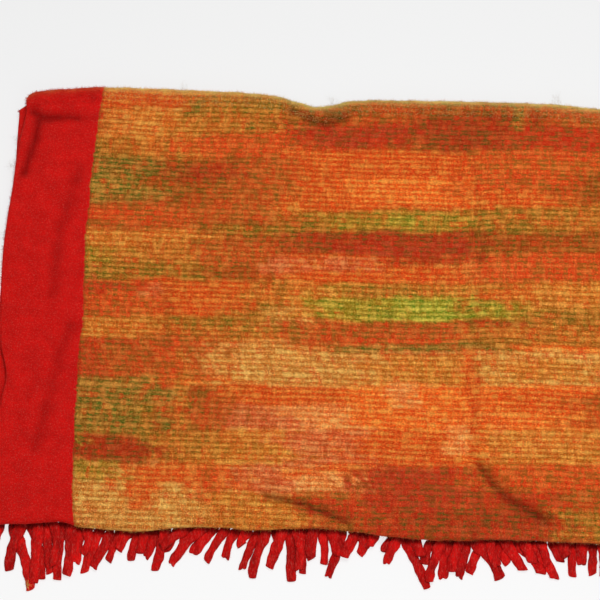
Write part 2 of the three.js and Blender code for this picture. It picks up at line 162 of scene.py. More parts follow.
# %% Creases and swells of the top layer
# Rise, reach, and the line that each one follows: place across, place between the folds.
CREASES = [
    (-3.0, 7, [(12, 488), (23, 482), (44, 483)]),
    (-1.6, 5, [(20, 478), (34, 478)]),
    (-1.8, 6, [(44, 483), (66, 482)]),
    (-0.6, 5, [(66, 482), (84, 483)]),
    (2.0, 9, [(4, 505), (40, 507), (90, 511)]),
    (0.8, 10, [(90, 511), (200, 511), (300, 507)]),
    (0.9, 10, [(400, 507), (560, 510), (760, 508), (1000, 509)]),
    (-3.0, 6, [(19, 482), (17, 452)]),
    (-2.2, 6, [(17, 452), (12, 428), (8, 408)]),
    (1.2, 5, [(5, 470), (2, 420), (-2, 350)]),
    (-0.9, 8, [(74, 418), (67, 389), (57, 338), (54, 261)]),
    (-0.9, 8, [(78, 223), (68, 181), (61, 134), (51, 79)]),
    (-2.2, 8, [(322, 502), (346, 490), (361, 486), (383, 495)]),
    (1.0, 9, [(335, 474), (358, 470), (384, 476)]),
    (1.3, 8, [(529, 469), (532, 419), (535, 349), (539, 247), (542, 152), (548, 72)]),
    (-0.5, 4, [(536, 469), (541, 419), (549, 333), (545, 271), (543, 200), (544, 118), (546, 39)]),
    (-2.6, 5, [(312, 35), (330, 31), (352, 27), (374, 19), (402, 8)]),
    (-2.4, 8, [(548, 78), (564, 56), (581, 40), (603, 29), (621, 19)]),
    (2.2, 26, [(240, 60), (300, 74), (360, 70), (385, 62)]),
    (1.6, 20, [(470, 30), (520, 34), (548, 40)]),
    (1.5, 24, [(615, 62), (660, 52), (720, 58)]),
    (-0.6, 7, [(189, 203), (189, 264)]),
    (-0.9, 12, [(760, 470), (772, 380), (769, 270), (776, 190)]),
    (1.9, 24, [(840, 30), (880, 44), (930, 40)]),
    (-1.8, 8, [(905, 12), (925, 24), (950, 52)]),
    (-0.9, 9, [(1006, 452), (1014, 360), (1020, 250), (1016, 120)]),
    (-1.5, 8, [(1030, 482), (1058, 480), (1082, 490)]),
]
print(len(CREASES), "creases and swells")


# %% [markdown]
# Nothing on a hand-loomed cloth is quite straight, so most sizes go through one of these helpers.
# They are sums and sines of fixed seeds instead of a random generator: the cloth comes out the
# same at each run, and two pieces that need the same unevenness can ask for it again.

# %% Helpers for smooth curves and repeatable unevenness
def chance(seed):
    wave = np.sin(np.asarray(seed, float) * 12.9898 + 4.1414) * 43758.5453
    return wave - np.floor(wave)


def mix(a, b, t):
    return a + (b - a) * t


def soft_step(low, high, value):
    t = np.clip((value - low) / (high - low), 0, 1)
    return t * t * (3 - 2 * t)


def follow(rows, at):
    """Smooth curve through the rows of a table of (place, value)."""
    keys = np.array([row[0] for row in rows], float)
    values = np.array([row[1] for row in rows], float)
    last = len(rows) - 1
    at = np.asarray(at, float)
    i = np.clip(np.searchsorted(keys, at) - 1, 0, last - 1)
    span = keys[i + 1] - keys[i]
    t = np.clip((at - keys[i]) / span, 0, 1)
    before = np.maximum(i - 1, 0)
    after = np.minimum(i + 2, last)
    slope_in = (values[i + 1] - values[before]) / (keys[i + 1] - keys[before])
    slope_out = (values[after] - values[i]) / (keys[after] - keys[i])
    level = values[i] * (2 * t**3 - 3 * t**2 + 1) + values[i + 1] * (3 * t**2 - 2 * t**3)
    return level + span * (slope_in * (t**3 - 2 * t**2 + t) + slope_out * (t**3 - t**2))


def ripple(x, y, size, seed):
    """Gentle unevenness between about -1 and 1, with swells of about the given size."""
    waves = 6
    total = 0
    for k in range(waves):
        turn = 2 * math.pi * chance(seed + 3.1 * k)
        rate = (0.6 + 0.8 * chance(seed + 7.7 * k + 1)) * 2 * math.pi / size
        start = 2 * math.pi * chance(seed + 5.3 * k + 2)
        total = total + np.sin((x * math.cos(turn) + y * math.sin(turn)) * rate + start)
    return total / math.sqrt(waves) / 1.2


def away_from_line(x, y, line):
    best = np.full(np.shape(x), 1e9)
    for (ax, ay), (bx, by) in zip(line, line[1:]):
        along = (x - ax) * (bx - ax) + (y - ay) * (by - ay)
        t = np.clip(along / ((bx - ax) ** 2 + (by - ay) ** 2), 0, 1)
        best = np.minimum(best, np.hypot(x - mix(ax, bx, t), y - mix(ay, by, t)))
    return best


print("a ripple at the origin:", round(float(ripple(0.0, 0.0, 46, 11)), 3))

# %% [markdown]
# The pile isn't flat. The top layer swells a little over the pressed layers, puffs up behind the
# front fold, and holds the creases of its last folding. Each crease is a soft trough with a
# sharper core, because wool felts slightly where it has been pressed.

# %% Shape of the pile
DEEPER = 1.35
CORE_SHARE = 0.25
CORE_WIDTH = 0.5
LIP_SHARE = 0.3
LIP_PLACE = 1.7
LIP_WIDTH = 0.6
LOWEST_RELIEF = -1.1
# Reach of the painted crease shade, as a share of a crease's reach, and the depth that takes it
# all.
CREASE_SHADE_REACH = 0.9
DEEPEST_CREASE = 2.4
PUFF_PLACE = 14
PUFF_REACH = 26
EDGE_WAVER = 0.5
END_WAVER = 0.8
THIRD_SETBACK = 1.5
# Long swells of the top layer: height, rates across and along, start.
SWELLS = [(0.55, 0.0121, 0.0173, 0.6), (0.35, 0.0317, -0.0219, 2.1)]
# Small bumps of the wool: height, size, seed.
BUMPS = [(0.22, 46, 11), (0.12, 19, 23)]


def waver(x, rate, start, slow_rate, slow_start):
    return EDGE_WAVER * np.sin(x * rate + start) * np.sin(x * slow_rate + slow_start)


def back_reach(x):
    return follow(BACK_FOLD, x) + waver(x, 0.19, 0.7, 0.043, 0.0)


def front_reach(x):
    return follow(FRONT_FOLD, x) + waver(x, 0.17, 2.0, 0.037, 1.0)


def top_relief(x, y):
    rise = TOP_LIFT
    for height, rate_x, rate_y, start in SWELLS:
        rise = rise + height * np.sin(x * rate_x + y * rate_y + start)
    rise = rise + FRONT_PUFF * np.exp(-(((y - PUFF_PLACE) / PUFF_REACH) ** 2))
    for height, reach, line in CREASES:
        away = away_from_line(x, y, line) / reach
        rise = rise + height * np.exp(-away * away) * (DEEPER if height < 0 else 1)
        if height < 0:
            rise = rise + CORE_SHARE * height * np.exp(-((away / CORE_WIDTH) ** 2))
            rise = rise - LIP_SHARE * height * np.exp(-(((away - LIP_PLACE) / LIP_WIDTH) ** 2))
    for height, size, seed in BUMPS:
        rise = rise + height * ripple(x, y, size, seed)
    return np.maximum(rise, LOWEST_RELIEF)


def crease_shade(x, y):
    """Painted shade in a crease, between 0 and 1: how much darker the wool is painted there."""
    most = 0.0
    for height, reach, line in CREASES:
        if height < 0:
            away = away_from_line(x, y, line) / (CREASE_SHADE_REACH * reach)
            most = np.maximum(most, np.exp(-away * away) * min(1.0, -height / DEEPEST_CREASE))
    return most


print("top of the pile at its middle:", round(float(Z_TOP + top_relief(545.0, 260.0)), 1), "mm")

# %% [markdown]
# One row of the cloth runs across the whole width, at one stop of the folded length. The section
# has seven parts: four flat layers and the three turns between them. A turn is half a circle
# between the heights of its two layers, so that layer and turn meet without a step.

# %% One row of the folded section
def bottom_end(x):
    return front_reach(x) + END_SETBACK + END_WAVER * np.sin(x * 0.02)


def third_end(x):
    return front_reach(x) + END_SETBACK + THIRD_SETBACK + END_WAVER * np.sin(x * 0.023 + 1.7)


def selvedge_place(v, s):
    left = follow(LEFT_EDGE, v)
    right = CLOTH_WIDTH + follow(RIGHT_EDGE, v)
    return mix(left, right, s)


def cloth_row(part, f, v, s):
    """One row of the cloth's middle surface, across its whole width."""
    x = selvedge_place(v, s)
    back_heart = back_reach(x) - SHEET / 2 - BACK_NOSE
    front_heart = front_reach(x) + SHEET / 2 + FRONT_NOSE
    inner_heart = back_reach(x) - SHEET - INNER_SETBACK - SHEET / 2 - INNER_NOSE
    turn = math.pi * (f - 0.5)
    over = 0.5 + 0.5 * math.sin(turn)
    if part == "bottom":
        y = mix(bottom_end(x), back_heart, f)
        z = np.full_like(x, Z_BOTTOM)
    elif part == "back_turn":
        y = back_heart + BACK_NOSE * math.cos(turn)
        z = mix(Z_BOTTOM, Z_TOP + top_relief(x, back_heart), over)
    elif part == "top":
        y = mix(back_heart, front_heart, f)
        z = Z_TOP + top_relief(x, y)
    elif part == "front_turn":
        y = front_heart - FRONT_NOSE * math.cos(turn)
        z = mix(Z_TOP + top_relief(x, front_heart), Z_SECOND, over)
    elif part == "second":
        y = mix(front_heart, inner_heart, f)
        z = np.full_like(x, Z_SECOND)
    elif part == "inner_turn":
        y = inner_heart + INNER_NOSE * math.cos(turn)
        z = mix(Z_SECOND, Z_THIRD, over)
    else:
        y = mix(inner_heart, third_end(x), f)
        z = np.full_like(x, Z_THIRD)
    return np.stack(np.broadcast_arrays(x, y, z), axis=-1)


print("middle of the top layer:", cloth_row("top", 0.5, 1.5, np.array([0.5]))[0].round(1), "mm")

# %% [markdown]
# The cloth is a thin sheet on its folds, so it starts as a plain grid with one row of points for
# each stop along the folded length and one column for each place across. Rows are close together
# on the top layer, where the creases are, and in the turns. The layers inside show only their
# edges.

# %% Rows and columns of the cloth grid
TOP_ROWS = 166
HIDDEN_ROWS = 14
TURN_ROWS = 12
INNER_TURN_ROWS = 8
FINE_COLUMN = 4.7
COARSE_COLUMN = 9.0
COARSE_FROM = 700.0
SELVEDGE_STEPS = [0.0, 0.8, 2.0, 4.0]


def stops(part, count, fold, closed):
    """Stops of one part of the section; a turn leaves out its ends, which its layers have."""
    if closed:
        return [(part, k / count, fold + k / count) for k in range(count + 1)]
    return [(part, k / count, float(fold)) for k in range(1, count)]


section = stops("bottom", HIDDEN_ROWS, 0, True) + stops("back_turn", TURN_ROWS, 1, False)
first_top = len(section)
section += stops("top", TOP_ROWS, 1, True)
last_top = len(section) - 1
section += stops("front_turn", TURN_ROWS, 2, False) + stops("second", HIDDEN_ROWS, 2, True)
section += stops("inner_turn", INNER_TURN_ROWS, 3, False) + stops("third", HIDDEN_ROWS, 3, True)

fine_count = round(COARSE_FROM / FINE_COLUMN)
coarse_count = round((CLOTH_WIDTH - COARSE_FROM) / COARSE_COLUMN)
inner_columns = np.concatenate([
    np.linspace(SELVEDGE_STEPS[-1], COARSE_FROM, fine_count, endpoint=False)[1:],
    np.linspace(COARSE_FROM, CLOTH_WIDTH - SELVEDGE_STEPS[-1], coarse_count, endpoint=False),
])
edge_columns = np.array(SELVEDGE_STEPS)
across = np.concatenate([edge_columns, inner_columns, CLOTH_WIDTH - edge_columns[::-1]])
shares = across / CLOTH_WIDTH
middle = np.array([cloth_row(part, f, v, shares) for part, f, v in section])
print("cloth grid:", middle.shape[0], "rows of", middle.shape[1], "points")

# %% [markdown]
# The frame's own axes have their origin under the middle of the blanket. The shift between the
# two is read from the frame's cloth: both boxes have the same middle, and both stand on the
# table.

# %% From cloth millimetres to the frame's metres
cloth_low, cloth_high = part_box("blanket_cloth")
own_low = middle.reshape(-1, 3).min(axis=0)
own_high = middle.reshape(-1, 3).max(axis=0)
shift = [
    (own_low[0] + own_high[0]) / 2 - (cloth_low.x + cloth_high.x) / 2 / MM,
    (own_low[1] + own_high[1]) / 2 - (cloth_low.y + cloth_high.y) / 2 / MM,
    0.0,
]


def to_frame(points):
    return (np.asarray(points, float) - np.array(shift)) * MM


print("shift of the frame, mm:", [round(float(value), 1) for value in shift])

# %% [markdown]
# The camera stands almost overhead, 72 degrees above the table and a touch to the right, with a
# short telephoto lens, as the photograph was taken. Because its place is known, the same numbers
# also tell where a point of the cloth appears in the photograph, and the dye is laid out that
# way.

# %% Camera
CAMERA_RISE = math.radians(72)
CAMERA_TURN = math.radians(2.2)
CAMERA_DISTANCE = 1800.0
CAMERA_TARGET = np.array([340.15, 263.04, 18.0])
PHOTO_SIDE = 600
PHOTO_FOCUS = 1565.2
SENSOR = 36.0

cam_back = np.array([
    math.sin(CAMERA_TURN) * math.cos(CAMERA_RISE),
    -math.cos(CAMERA_TURN) * math.cos(CAMERA_RISE),
    math.sin(CAMERA_RISE),
])
cam_right = np.array([math.cos(CAMERA_TURN), math.sin(CAMERA_TURN), 0.0])
cam_up = np.cross(cam_back, cam_right)
cam_place = CAMERA_TARGET + cam_back * CAMERA_DISTANCE


def in_photo(x, y, z):
    """Photo column and row at which a point of the cloth appears."""
    sight = np.stack(np.broadcast_arrays(x, y, z), axis=-1) - cam_place
    depth = -(sight @ cam_back)
    column = PHOTO_SIDE / 2 + PHOTO_FOCUS * (sight @ cam_right) / depth
    row = PHOTO_SIDE / 2 - PHOTO_FOCUS * (sight @ cam_up) / depth
    return column, row


camera_data = bpy.data.cameras.new("camera")
camera_data.sensor_width = SENSOR
camera_data.lens = PHOTO_FOCUS * SENSOR / PHOTO_SIDE
camera = bpy.data.objects.new("camera", camera_data)
bpy.context.scene.collection.objects.link(camera)
camera.location = Vector(to_frame(cam_place))
camera.rotation_euler = (math.pi / 2 - CAMERA_RISE, 0.0, CAMERA_TURN)
bpy.context.scene.camera = camera
bpy.context.scene.view_settings.view_transform = "Standard"
print("lens", round(camera_data.lens, 1), "mm, camera at", [round(v, 3) for v in camera.location])

# %% [markdown]
# The floor is a plain pale sheet. It glows faintly, a little less towards the back, so that it
# stays as pale as the real one without a harder light on the wool.

# %% Floor
FLOOR_SIDE = 24.0
FLOOR_DROP = 0.0002
FLOOR_SHADE = 0.2
FRONT_GLOW = 0.76
BACK_GLOW = 0.68
GLOW_FRONT = -0.3
GLOW_BACK = 0.45

floor_mesh = bpy.data.meshes.new("floor")
bm = bmesh.new()
bmesh.ops.create_grid(bm, x_segments=1, y_segments=1, size=FLOOR_SIDE / 2)
bmesh.ops.translate(bm, verts=bm.verts, vec=(0, 0, -FLOOR_DROP))
bm.to_mesh(floor_mesh)
bm.free()
floor = bpy.data.objects.new("floor", floor_mesh)
bpy.context.scene.collection.objects.link(floor)
floor_material = bpy.data.materials.new("pale_floor")
floor_material.use_nodes = True
floor_nodes = floor_material.node_tree.nodes
floor_wires = floor_material.node_tree.links
floor_shader = floor_nodes["Principled BSDF"]
floor_shader.inputs["Base Color"].default_value = (FLOOR_SHADE, FLOOR_SHADE, FLOOR_SHADE, 1)
floor_shader.inputs["Roughness"].default_value = 0.8
floor_shader.inputs["Specular IOR Level"].default_value = 0.2
floor_shader.inputs["Emission Color"].default_value = (1, 1, 1, 1)
floor_place = floor_nodes.new("ShaderNodeTexCoord")
floor_axes = floor_nodes.new("ShaderNodeSeparateXYZ")
floor_fade = floor_nodes.new("ShaderNodeMapRange")
floor_fade.inputs["From Min"].default_value = GLOW_FRONT
floor_fade.inputs["From Max"].default_value = GLOW_BACK
floor_fade.inputs["To Min"].default_value = FRONT_GLOW
floor_fade.inputs["To Max"].default_value = BACK_GLOW
floor_wires.new(floor_place.outputs["Object"], floor_axes.inputs[0])
floor_wires.new(floor_axes.outputs["Y"], floor_fade.inputs["Value"])
floor_wires.new(floor_fade.outputs["Result"], floor_shader.inputs["Emission Strength"])
floor_mesh.materials.append(floor_material)
floor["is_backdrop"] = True
print("floor", FLOOR_SIDE, "m wide")

# %% [markdown]
# The photograph has almost no cast shadow. One soft light hangs overhead and a little behind the
# blanket, so the front fold is dark underneath, a weak one in front keeps the fringe out of the
# dark, and an even pale world lights the rest.

# %% Studio light
KEY_PLACE = (0.1, 0.55, 2.0)
KEY_SIZE = 0.6
KEY_POWER = 24.5
FILL_PLACE = (0.2, -1.2, 1.1)
FILL_SIZE = 1.0
FILL_POWER = 5.0
WORLD_STRENGTH = 0.32


def soft_light(name, place, side, power):
    data = bpy.data.lights.new(name, "AREA")
    data.shape = "SQUARE"
    data.size = side
    data.energy = power
    light = bpy.data.objects.new(name, data)
    bpy.context.scene.collection.objects.link(light)
    light.location = place
    light.rotation_euler = Vector(place).to_track_quat("Z", "Y").to_euler()


soft_light("key", KEY_PLACE, KEY_SIZE, KEY_POWER)
soft_light("fill", FILL_PLACE, FILL_SIZE, FILL_POWER)
world = bpy.data.worlds.new("studio")
world.use_nodes = True
world.node_tree.nodes["Background"].inputs["Color"].default_value = (1, 1, 1, 1)
world.node_tree.nodes["Background"].inputs["Strength"].default_value = WORLD_STRENGTH
bpy.context.scene.world = world
print("key light", KEY_POWER, "W, fill light", FILL_POWER, "W")

# %% [markdown]
# The cloth itself: a grid from the operator, moved point by point onto the folded section. A
# Solidify modifier gives the 3 mm of wool afterwards, thinned at the selvedges by a vertex group,
# so that the layers' edges are round instead of cut square.

# %% Cloth on its folds
EDGE_SHARES = [0.42, 0.72, 0.92, 1.0]


def grid_mesh(name, points):
    """Grid from the operator, with its points moved to rows x columns x 3 places in metres."""
    rows, columns = points.shape[:2]
    bm = bmesh.new()
    bmesh.ops.create_grid(bm, x_segments=columns - 1, y_segments=rows - 1, size=1)
    mesh = bpy.data.meshes.new(name)
    bm.to_mesh(mesh)
    bm.free()
    flat = np.zeros(len(mesh.vertices) * 3)
    mesh.vertices.foreach_get("co", flat)
    flat = flat.reshape(-1, 3)
    column = np.rint((flat[:, 0] + 1) / 2 * (columns - 1)).astype(int)
    row = np.rint((flat[:, 1] + 1) / 2 * (rows - 1)).astype(int)
    mesh.vertices.foreach_set("co", points[row, column].ravel())
    mesh.update()
    return mesh, row, column


def shade_smooth(mesh):
    mesh.polygons.foreach_set("use_smooth", np.ones(len(mesh.polygons), bool))
    mesh.update()


def show(name, mesh):
    piece = bpy.data.objects.new(name, mesh)
    bpy.context.scene.collection.objects.link(piece)
    return piece


cloth_mesh, grid_row, grid_column = grid_mesh("blanket_cloth_woven", to_frame(middle))
shade_smooth(cloth_mesh)
cloth = show("cloth_woven", cloth_mesh)
thinness = np.ones(len(across))
thinness[:len(EDGE_SHARES)] = EDGE_SHARES
thinness[-len(EDGE_SHARES):] = EDGE_SHARES[::-1]
rim_group = cloth.vertex_groups.new(name="thickness")
for column_index, share in enumerate(thinness):
    members = np.nonzero(grid_column == column_index)[0]
    rim_group.add([int(i) for i in members], float(share), "REPLACE")
thicken = cloth.modifiers.new("wool_thickness", "SOLIDIFY")
thicken.thickness = SHEET * MM
thicken.offset = 0.0
thicken.vertex_group = "thickness"
print("cloth:", len(cloth_mesh.polygons), "faces before its thickness")

# %% [markdown]
# Weft rows keep their own places on the cloth, also where it is folded. So the UV map holds real
# metres: across the width, and along the length as if the blanket were unfolded. On the top layer
# the rows are straight but for one spot: right of the long mark of an old fold they sit a few
# millimetres higher, because the cloth was pressed there with a slight slip.

# %% UV map in metres along the unfolded cloth
UNFOLD_FROM = 1100.0
SLIP_LINE = (512.0, 584.0)
# Slip of the rows right of the mark: place between the folds, slip.
ROW_SLIP = [(60, 0), (100, 0.6), (180, 2.6), (270, 4.6), (375, 6.4), (460, 4.0), (515, 1.5)]

steps = np.linalg.norm(np.diff(middle, axis=0), axis=2)
walked = np.vstack([np.zeros((1, len(across))), np.cumsum(steps, axis=0)])
laid_y = np.array(middle[:, :, 1])
laid_y[:first_top] = middle[first_top, :, 1] + walked[first_top] - walked[:first_top]
laid_y[last_top + 1:] = middle[last_top, :, 1] - (walked[last_top + 1:] - walked[last_top])
laid_x = np.array(middle[:, :, 0])


def row_slip(x, y):
    amount = follow(ROW_SLIP, np.clip(y, ROW_SLIP[0][0], ROW_SLIP[-1][0]))
    dips = 0.9 * ripple(x, y, 170, 41) + 0.4 * ripple(x, y, 60, 43)
    return amount * soft_step(SLIP_LINE[0], SLIP_LINE[1], x) + dips


along = UNFOLD_FROM - laid_y + row_slip(laid_x, laid_y)
uv_points = np.stack([np.broadcast_to(across, along.shape), along], axis=-1) * MM
uv_layer = cloth_mesh.uv_layers.new(name="woven")
loop_vertex = np.zeros(len(cloth_mesh.loops), int)
cloth_mesh.loops.foreach_get("vertex_index", loop_vertex)
vertex_uv = uv_points[grid_row, grid_column]
uv_layer.data.foreach_set("uv", vertex_uv[loop_vertex].ravel())
print("unfolded length", round(float(along.max() - along.min())), "mm")

# %% [markdown]
# Space-dyed yarn changes its colour every few centimetres, and since each weft row starts nearly
# where the last one did, the changes line up into long soft streaks. Each streak has three
# shades: the ground between the rows, the paler line of the row itself, and the flecks of darker
# yarn that show between them. The shades are mixed one by one. The streaks are listed by their
# places in the photograph, left, right, top and bottom, because that is how one reads them off, and
# they are laid on the cloth from there. Later ones lie over earlier ones.

# %% Dye shades as screen colours: ground, pale line of the row, dark fleck
SHADES = {
    "rust": ((198, 44, 12), (208, 116, 48), (114, 82, 20)),
    "red": ((222, 34, 12), (224, 112, 46), (132, 84, 22)),
    "crimson": ((196, 20, 9), (202, 80, 38), (104, 80, 22)),
    "scarlet": ((182, 30, 12), (190, 76, 40), (118, 70, 20)),
    "wine": ((168, 22, 9), (184, 80, 36), (86, 74, 20)),
    "brown": ((164, 44, 10), (190, 108, 42), (76, 76, 14)),
    "olive": ((154, 76, 14), (216, 146, 58), (74, 86, 14)),
    "green": ((118, 70, 12), (208, 146, 62), (44, 92, 22)),
    "lime": ((134, 106, 12), (224, 188, 72), (58, 104, 12)),
    "moss": ((144, 88, 13), (216, 162, 60), (64, 96, 14)),
    "sprout": ((134, 118, 14), (224, 204, 80), (58, 114, 12)),
    "tan": ((194, 76, 18), (224, 152, 62), (120, 78, 14)),
    "straw": ((210, 118, 40), (236, 190, 98), (172, 86, 18)),
    "gold": ((218, 102, 28), (234, 170, 76), (184, 72, 14)),
    "orange": ((218, 50, 10), (228, 142, 56), (192, 46, 8)),
    "amber": ((208, 88, 20), (232, 168, 72), (160, 78, 10)),
    "pink": ((210, 82, 38), (230, 144, 82), (170, 56, 16)),
    "rose": ((234, 124, 50), (246, 186, 104), (210, 84, 24)),
    "blaze": ((234, 82, 16), (244, 164, 68), (222, 58, 8)),
}
SEEDED_SHADES = [
    "rust", "orange", "amber", "red", "olive", "brown", "blaze", "straw", "rust", "green",
    "crimson", "gold", "pink", "lime", "wine", "tan",
]


def linear(colour):
    share = np.array(colour, float) / 255
    return np.where(share <= 0.04045, share / 12.92, ((share + 0.055) / 1.055) ** 2.4)


print(len(SHADES), "shades")

# %% Dye streaks of the visible top layer
# Left, right, top and bottom in the photograph, then the shade.
STREAKS = [
    (60, 300, 84, 108, "orange"),
    (180, 310, 92, 128, "tan"),
    (200, 300, 98, 116, "olive"),
    (104, 160, 108, 136, "gold"),
    (150, 198, 112, 138, "amber"),
    (190, 310, 114, 136, "tan"),
    (84, 140, 136, 158, "olive"),
    (130, 190, 136, 158, "tan"),
    (186, 310, 134, 182, "red"),
    (70, 166, 156, 203, "green"),
    (150, 240, 158, 203, "brown"),
    (180, 226, 164, 180, "wine"),
    (228, 306, 158, 204, "rust"),
    (70, 310, 202, 229, "rust"),
    (90, 180, 206, 222, "red"),
    (274, 310, 201, 214, "amber"),
    (70, 216, 229, 246, "amber"),
    (206, 310, 222, 242, "brown"),
    (220, 296, 226, 236, "olive"),
    (70, 110, 246, 265, "moss"),
    (104, 216, 246, 266, "tan"),
    (208, 310, 242, 266, "rust"),
    (70, 216, 264, 280, "olive"),
    (214, 284, 266, 279, "brown"),
    (276, 310, 264, 282, "amber"),
    (60, 170, 280, 317, "red"),
    (60, 120, 282, 292, "crimson"),
    (140, 170, 286, 298, "pink"),
    (160, 244, 280, 318, "orange"),
    (238, 310, 278, 304, "tan"),
    (60, 164, 316, 331, "amber"),
    (160, 244, 316, 328, "olive"),
    (236, 310, 303, 334, "olive"),
    (270, 310, 308, 326, "straw"),
    (60, 160, 330, 341, "amber"),
    (60, 140, 338, 378, "crimson"),
    (90, 132, 344, 368, "rust"),
    (130, 220, 334, 378, "rust"),
    (216, 310, 342, 388, "straw"),
    (60, 176, 376, 434, "green"),
    (166, 238, 384, 440, "brown"),
    (176, 232, 396, 430, "rust"),
    (228, 310, 384, 409, "orange"),
    (228, 310, 406, 431, "pink"),
    (222, 310, 429, 446, "gold"),
    (60, 156, 434, 464, "wine"),
    (146, 256, 434, 466, "tan"),
    (216, 310, 446, 467, "amber"),
    (60, 134, 462, 494, "straw"),
    (66, 112, 462, 480, "moss"),
    (126, 246, 464, 494, "orange"),
    (236, 310, 464, 496, "pink"),
    (60, 214, 490, 540, "straw"),
    (206, 310, 492, 540, "amber"),
    (300, 640, 84, 126, "rust"),
    (296, 410, 90, 122, "brown"),
    (346, 420, 100, 122, "rust"),
    (416, 530, 104, 152, "brown"),
    (424, 520, 116, 150, "wine"),
    (298, 420, 124, 152, "crimson"),
    (516, 640, 126, 152, "crimson"),
    (296, 478, 150, 214, "orange"),
    (340, 470, 154, 164, "orange"),
    (350, 470, 178, 206, "blaze"),
    (466, 640, 150, 200, "red"),
    (480, 560, 190, 212, "orange"),
    (570, 640, 184, 204, "brown"),
    (290, 500, 211, 233, "olive"),
    (336, 484, 213, 230, "moss"),
    (386, 426, 218, 226, "lime"),
    (486, 640, 206, 234, "olive"),
    (560, 640, 206, 232, "tan"),
    (290, 488, 232, 264, "wine"),
    (336, 470, 236, 250, "wine"),
    (480, 640, 232, 256, "brown"),
    (490, 600, 236, 248, "brown"),
    (290, 390, 254, 288, "orange"),
    (310, 370, 258, 272, "pink"),
    (380, 476, 265, 287, "orange"),
    (470, 640, 254, 286, "red"),
    (290, 336, 286, 322, "amber"),
    (324, 480, 285, 320, "lime"),
    (340, 490, 284, 296, "tan"),
    (330, 400, 286, 298, "olive"),
    (398, 466, 300, 322, "sprout"),
    (506, 640, 282, 312, "amber"),
    (520, 640, 308, 330, "olive"),
    (290, 362, 320, 346, "rust"),
    (352, 480, 321, 346, "rust"),
    (360, 476, 337, 343, "red"),
    (470, 640, 326, 347, "tan"),
    (326, 520, 344, 353, "green"),
    (290, 384, 352, 388, "straw"),
    (370, 480, 354, 388, "amber"),
    (474, 640, 352, 388, "straw"),
    (500, 590, 360, 380, "amber"),
    (290, 326, 386, 408, "orange"),
    (290, 360, 404, 430, "rose"),
    (346, 476, 386, 432, "blaze"),
    (476, 640, 384, 432, "blaze"),
    (500, 640, 390, 412, "orange"),
    (572, 640, 396, 430, "rust"),
    (290, 370, 429, 468, "pink"),
    (356, 470, 430, 468, "orange"),
    (460, 486, 428, 468, "blaze"),
    (480, 640, 430, 466, "amber"),
    (500, 580, 438, 456, "gold"),
    (290, 366, 466, 496, "rose"),
    (356, 480, 466, 496, "crimson"),
    (474, 640, 464, 496, "red"),
    (290, 364, 492, 546, "rust"),
    (300, 350, 500, 516, "crimson"),
    (352, 556, 492, 556, "crimson"),
    (390, 540, 512, 530, "wine"),
    (546, 640, 490, 556, "rust"),
    (556, 640, 512, 540, "olive"),
    (142, 158, 114, 142, "gold"),
    (190, 202, 100, 114, "green"),
    (244, 256, 118, 130, "green"),
    (270, 294, 256, 272, "pink"),
    (104, 124, 344, 376, "rust"),
    (174, 186, 350, 440, "tan"),
    (164, 178, 338, 388, "red"),
    (140, 154, 404, 458, "olive"),
    (230, 252, 350, 382, "straw"),
    (80, 150, 440, 456, "wine"),
    (127, 150, 466, 510, "orange"),
    (192, 216, 466, 502, "red"),
    (154, 182, 484, 526, "straw"),
    (216, 240, 500, 530, "tan"),
    (446, 472, 118, 154, "wine"),
    (514, 524, 104, 130, "green"),
    (584, 640, 170, 196, "brown"),
    (392, 416, 384, 410, "rose"),
    (446, 466, 426, 454, "rose"),
    (464, 478, 350, 388, "orange"),
    (469, 478, 372, 468, "orange"),
    (472, 482, 498, 540, "wine"),
    (550, 640, 492, 512, "rust"),
    (300, 372, 466, 476, "orange"),
    (320, 410, 128, 146, "scarlet"),
    (356, 468, 240, 256, "scarlet"),
    (372, 452, 470, 512, "scarlet"),
    (470, 528, 299, 321, "moss"),
    (486, 512, 302, 318, "lime"),
]
# How well a streak covers, and how soft and uneven its ends and its long sides are.
STREAK_STRENGTH = 0.92
SIDE_SOFT = 20.0
ROW_SOFT = 2.4
ROW_JITTER = 22.0
END_SWAY = 9
ROW_SWAY = 1.8
STRAY_SIDE = 30.0
STRAY_ROW = 1.6
BLOTCH_SIDE = 7.0
BLOTCH_ROW = 12.0
WEFT_PITCH = 6.5
PHOTO_PITCH = 1.16
print(len(STREAKS), "streaks read from the visible part")


# %% [markdown]
# The part that the photograph cuts off, and the layers inside, go on in the same way. Their
# streaks are seeded: bands of uneven height, each cut into lengths with shades from the same dye
# pots. A streak that leaves the photograph at its right edge runs on a little before the seeded
# ones follow.

# %% Seeded streaks
# Photo columns between which streaks are seeded, and the ranges of their sizes.
SEEDED_COLUMNS = (-40, 1010)
BAND_HEIGHTS = (9, 26)
STREAK_LENGTHS = (80, 230)
FIRST_OFFSET = 90
STREAK_OVERLAP = 6
BAND_OVERLAP = 1
RUNS_ON = (20, 150)


def seeded_streaks(left, right, top, bottom, seed):
    found = []
    row = top
    turn = seed
    while row < bottom:
        height = mix(*BAND_HEIGHTS, chance(turn))
        place = left - FIRST_OFFSET * chance(turn + 0.5)
        while place < right:
            turn += 1
            length = mix(*STREAK_LENGTHS, chance(turn + 0.3))
            shade = SEEDED_SHADES[int(chance(turn + 0.7) * len(SEEDED_SHADES))]
            found.append((place, place + length, row, row + height, shade))
            place += length - STREAK_OVERLAP
        row += height - BAND_OVERLAP
        turn += 1
    return found


print(len(seeded_streaks(0, 100, 0, 100, 3.0)), "streaks in a seeded square of 100")

# %% [markdown]
# The dye is painted streak after streak, so a later one covers most of an earlier one. The ends
# of a streak are soft and ragged: each weft row is shifted by its own small amount, and small
# blotches stray to either side, as the dye does when it creeps along wet yarn.

